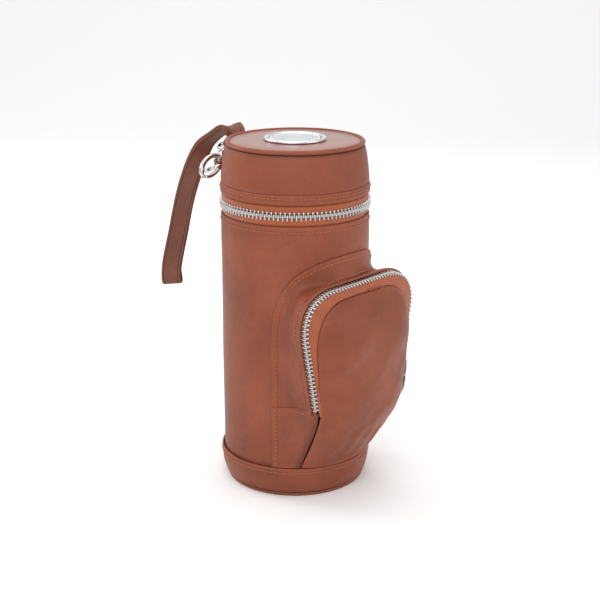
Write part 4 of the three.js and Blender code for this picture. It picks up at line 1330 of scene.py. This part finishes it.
half = STRAP_W / 2 + 2.7
bar_local = np.array([EYE_BAR.dot(CLASP_X), EYE_BAR.dot(CLASP_Y), EYE_BAR.dot(CLASP_Z)])
loop_pts = [(0, -half + 1.5), (0, 0), (0, half - 1.5), (1, half), (4.2, half - 0.6), (5.6, half - 4), (5.8, 0),
            (5.6, -half + 4), (4.2, -half + 0.6), (1, -half)]
loop_curve = smooth_curve([np.array([a, 0, 0]) + bar_local * b for a, b in loop_pts], 90, True)
swivel = Pieces()
swivel.add(*tube(loop_curve, 1.1, 14, True))
swivel.add(*turned_x([(5.0, 0.9), (5.4, 1.9), (6.2, 2.0), (6.9, 1.6), (7.4, 1.15),
                      (8.0, 1.1), (13.5, 1.1), (15.2, 1.1),
                      (15.6, 1.9), (16.2, 1.7), (16.5, 0.9)], 20))
swivel.move(in_clasp)
swivel.make("swivel_loop", nickel, body="swivel", replaces=["swivel_eye"])

strap_route = smooth_curve([
    (4.2, 56, 201.8), (7.8, 56.65, 206.4), (8.6, 58.6, 209.6), (8.4, 62, 210.6), (6.5, 65.9, 210),
    (3.3, 71.8, 205.4), (-0.2, 76.5, 200), (-3.6, 78.7, 193.3), (-7.8, 79.6, 185.3), (-15.4, 79.9, 168.4),
    (-22.6, 79.6, 146.3), (-28.9, 79.9, 123.7), (-29.8, 78.6, 116.3)], 240)


def route(t):
    k = t * (len(strap_route) - 1)
    i = min(int(k), len(strap_route) - 2)
    p = lerp(strap_route[i], strap_route[i + 1], k - i)
    a, b = strap_route[max(i - 2, 0)], strap_route[min(i + 3, len(strap_route) - 1)]
    return p, unit(b - a)


def strap_frame(t, offset, shift=0.0):
    p, tangent = route(t)
    first, second = smoothstep(t, 0.0, 0.2), smoothstep(t, 0.16, 0.65)
    a = math.radians(-90 + 82 * first - 54 * second)
    w = lerp(np.array([math.cos(a), math.sin(a), 0]), -EYE_BAR, (1 - first) ** 2)
    w = unit(w - tangent * w.dot(tangent))
    n = unit(np.cross(w, tangent))
    return p + n * offset + tangent * shift, w, n, tangent


def ply_spread(t):
    at_eye = (1.1 + 0.35 + PLY / 2) * (1 - smoothstep(t, 0, 0.09))
    at_fold = 2.4 * smoothstep(t, 0.9, 0.995)
    apart = PLY / 2 + 0.15 + 0.5 * smoothstep(t, 0.5, 0.95)
    return max(apart, at_eye, at_fold)


strap_ring = []
FIRST, LAST = 0.001, 0.995
for i in range(121):
    t = lerp(FIRST, LAST, i / 120)
    p, w, n, _ = strap_frame(t, ply_spread(t))
    strap_ring.append((p, w, n))
for i in range(1, 14):
    a = math.pi * i / 14
    p, w, n, g = strap_frame(LAST, 2.4 * math.cos(a), 2.4 * math.sin(a))
    strap_ring.append((p, w, n * math.cos(a) + g * math.sin(a)))
for i in range(120, -1, -1):
    t = lerp(FIRST, LAST, i / 120)
    p, w, n, _ = strap_frame(t, -ply_spread(t))
    strap_ring.append((p, w, -n))
r_eye = 1.1 + 0.35 + PLY / 2
for i in range(1, 14):
    a = math.pi * i / 14
    p, w, n, g = strap_frame(FIRST, -r_eye * math.cos(a), -r_eye * math.sin(a))
    strap_ring.append((p, w, -n * math.cos(a) - g * math.sin(a)))


def strap_at(u, v):
    p, w, n = strap_ring[int(round(u * len(strap_ring))) % len(strap_ring)]
    crown = 0.1 * math.cos(math.pi * (v - 0.5)) - 0.1
    return p + w * (v - 0.5) * (STRAP_W - 1.0) + n * (PLY / 2 + crown)


shell("wrist_strap_leather", strap_at, len(strap_ring), 10, PLY, strap_leather, loop=True, flip=True,
      body="strap", replaces=["wrist_strap"], edge_wear=0.35)
# Painted shade: a dark tube along each side of the strap stands in for the shade in its creased groove.
crease_rows = strap_ring[4:252]
for s, side in ((-1, "left"), (1, "right")):
    line = Pieces()
    line.add(*tube([p + w * s * (STRAP_W / 2 - 1.7) + n * (PLY / 2 - 0.14)
                    for p, w, n in crease_rows], 0.24, 8))
    line.make("strap_crease_" + side, crease_painted_shade, body="strap")

# ---------- stage, light and camera ----------
def stage_mesh():
    verts, faces = [], []
    profile = [(-2.5, 0), (1.2, 0)]
    profile += [(1.2 + 0.8 * math.sin(a), 0.8 * (1 - math.cos(a))) for a in np.linspace(0.1, math.pi / 2, 14)]
    profile += [(2.0, 3.0)]
    view = math.radians(-48)
    away = np.array([-math.sin(view), math.cos(view), 0])
    right = np.array([math.cos(view), math.sin(view), 0])
    for d, z in profile:
        for x in (-4.0, 4.0):
            verts.append((away * d + right * x + np.array([0, 0, z])) / MM)
    for i in range(len(profile) - 1):
        faces.append((2 * i, 2 * i + 1, 2 * i + 3, 2 * i + 2))
    m, nodes, links, shader = new_material("studio_floor")
    shader.inputs["Base Color"].default_value = (0.9, 0.9, 0.9, 1)
    shader.inputs["Roughness"].default_value = 0.8
    floor = build("studio_floor", verts, faces, m)


stage_mesh()


def light(name, place, target, size, power, colour=(1, 1, 1)):
    data = bpy.data.lights.new(name, "AREA")
    data.size, data.energy, data.color = size, power, colour
    data.shape = "DISK"
    obj = bpy.data.objects.new(name, data)
    bpy.context.scene.collection.objects.link(obj)
    obj.location = place
    obj.rotation_euler = (Vector(target) - Vector(place)).to_track_quat("-Z", "Y").to_euler()


light("key", (-1.05, -0.55, 1.05), (0, 0, 0.11), 1.3, 9.5)
light("fill", (0.55, -1.25, 0.75), (0, 0, 0.1), 1.4, 4.2)
light("top", (0.25, 0.35, 1.5), (0, 0, 0.15), 1.3, 7.5)
light("rim", (-0.35, 1.1, 0.8), (0, 0, 0.12), 0.6, 4.0)
world = bpy.data.worlds.new("studio")
world.use_nodes = True
world.node_tree.nodes["Background"].inputs["Color"].default_value = (1, 1, 1, 1)
world.node_tree.nodes["Background"].inputs["Strength"].default_value = 0.75
bpy.context.scene.world = world
bpy.context.scene.view_settings.view_transform = "Standard"

camera_data = bpy.data.cameras.new("camera")
camera_data.lens = 77.82
camera_data.sensor_width = 36
camera_data.clip_end = 50
camera = bpy.data.objects.new("camera", camera_data)
bpy.context.scene.collection.objects.link(camera)
azimuth, elevation, distance = math.radians(-48), math.radians(17.15), 0.8
target = Vector((0, 0, 0.110))
position = target + distance * Vector(
    (math.sin(azimuth) * math.cos(elevation), -math.cos(azimuth) * math.cos(elevation), math.sin(elevation)))
look = (target - position).normalized()
right = look.cross(Vector((0, 0, 1))).normalized()
look = Matrix.Rotation(math.radians(-0.22), 3, "Z") @ look
look = Matrix.Rotation(math.radians(0.15), 3, right) @ look
camera.location = position
camera.rotation_euler = look.to_track_quat("-Z", "Y").to_euler()
bpy.context.scene.camera = camera
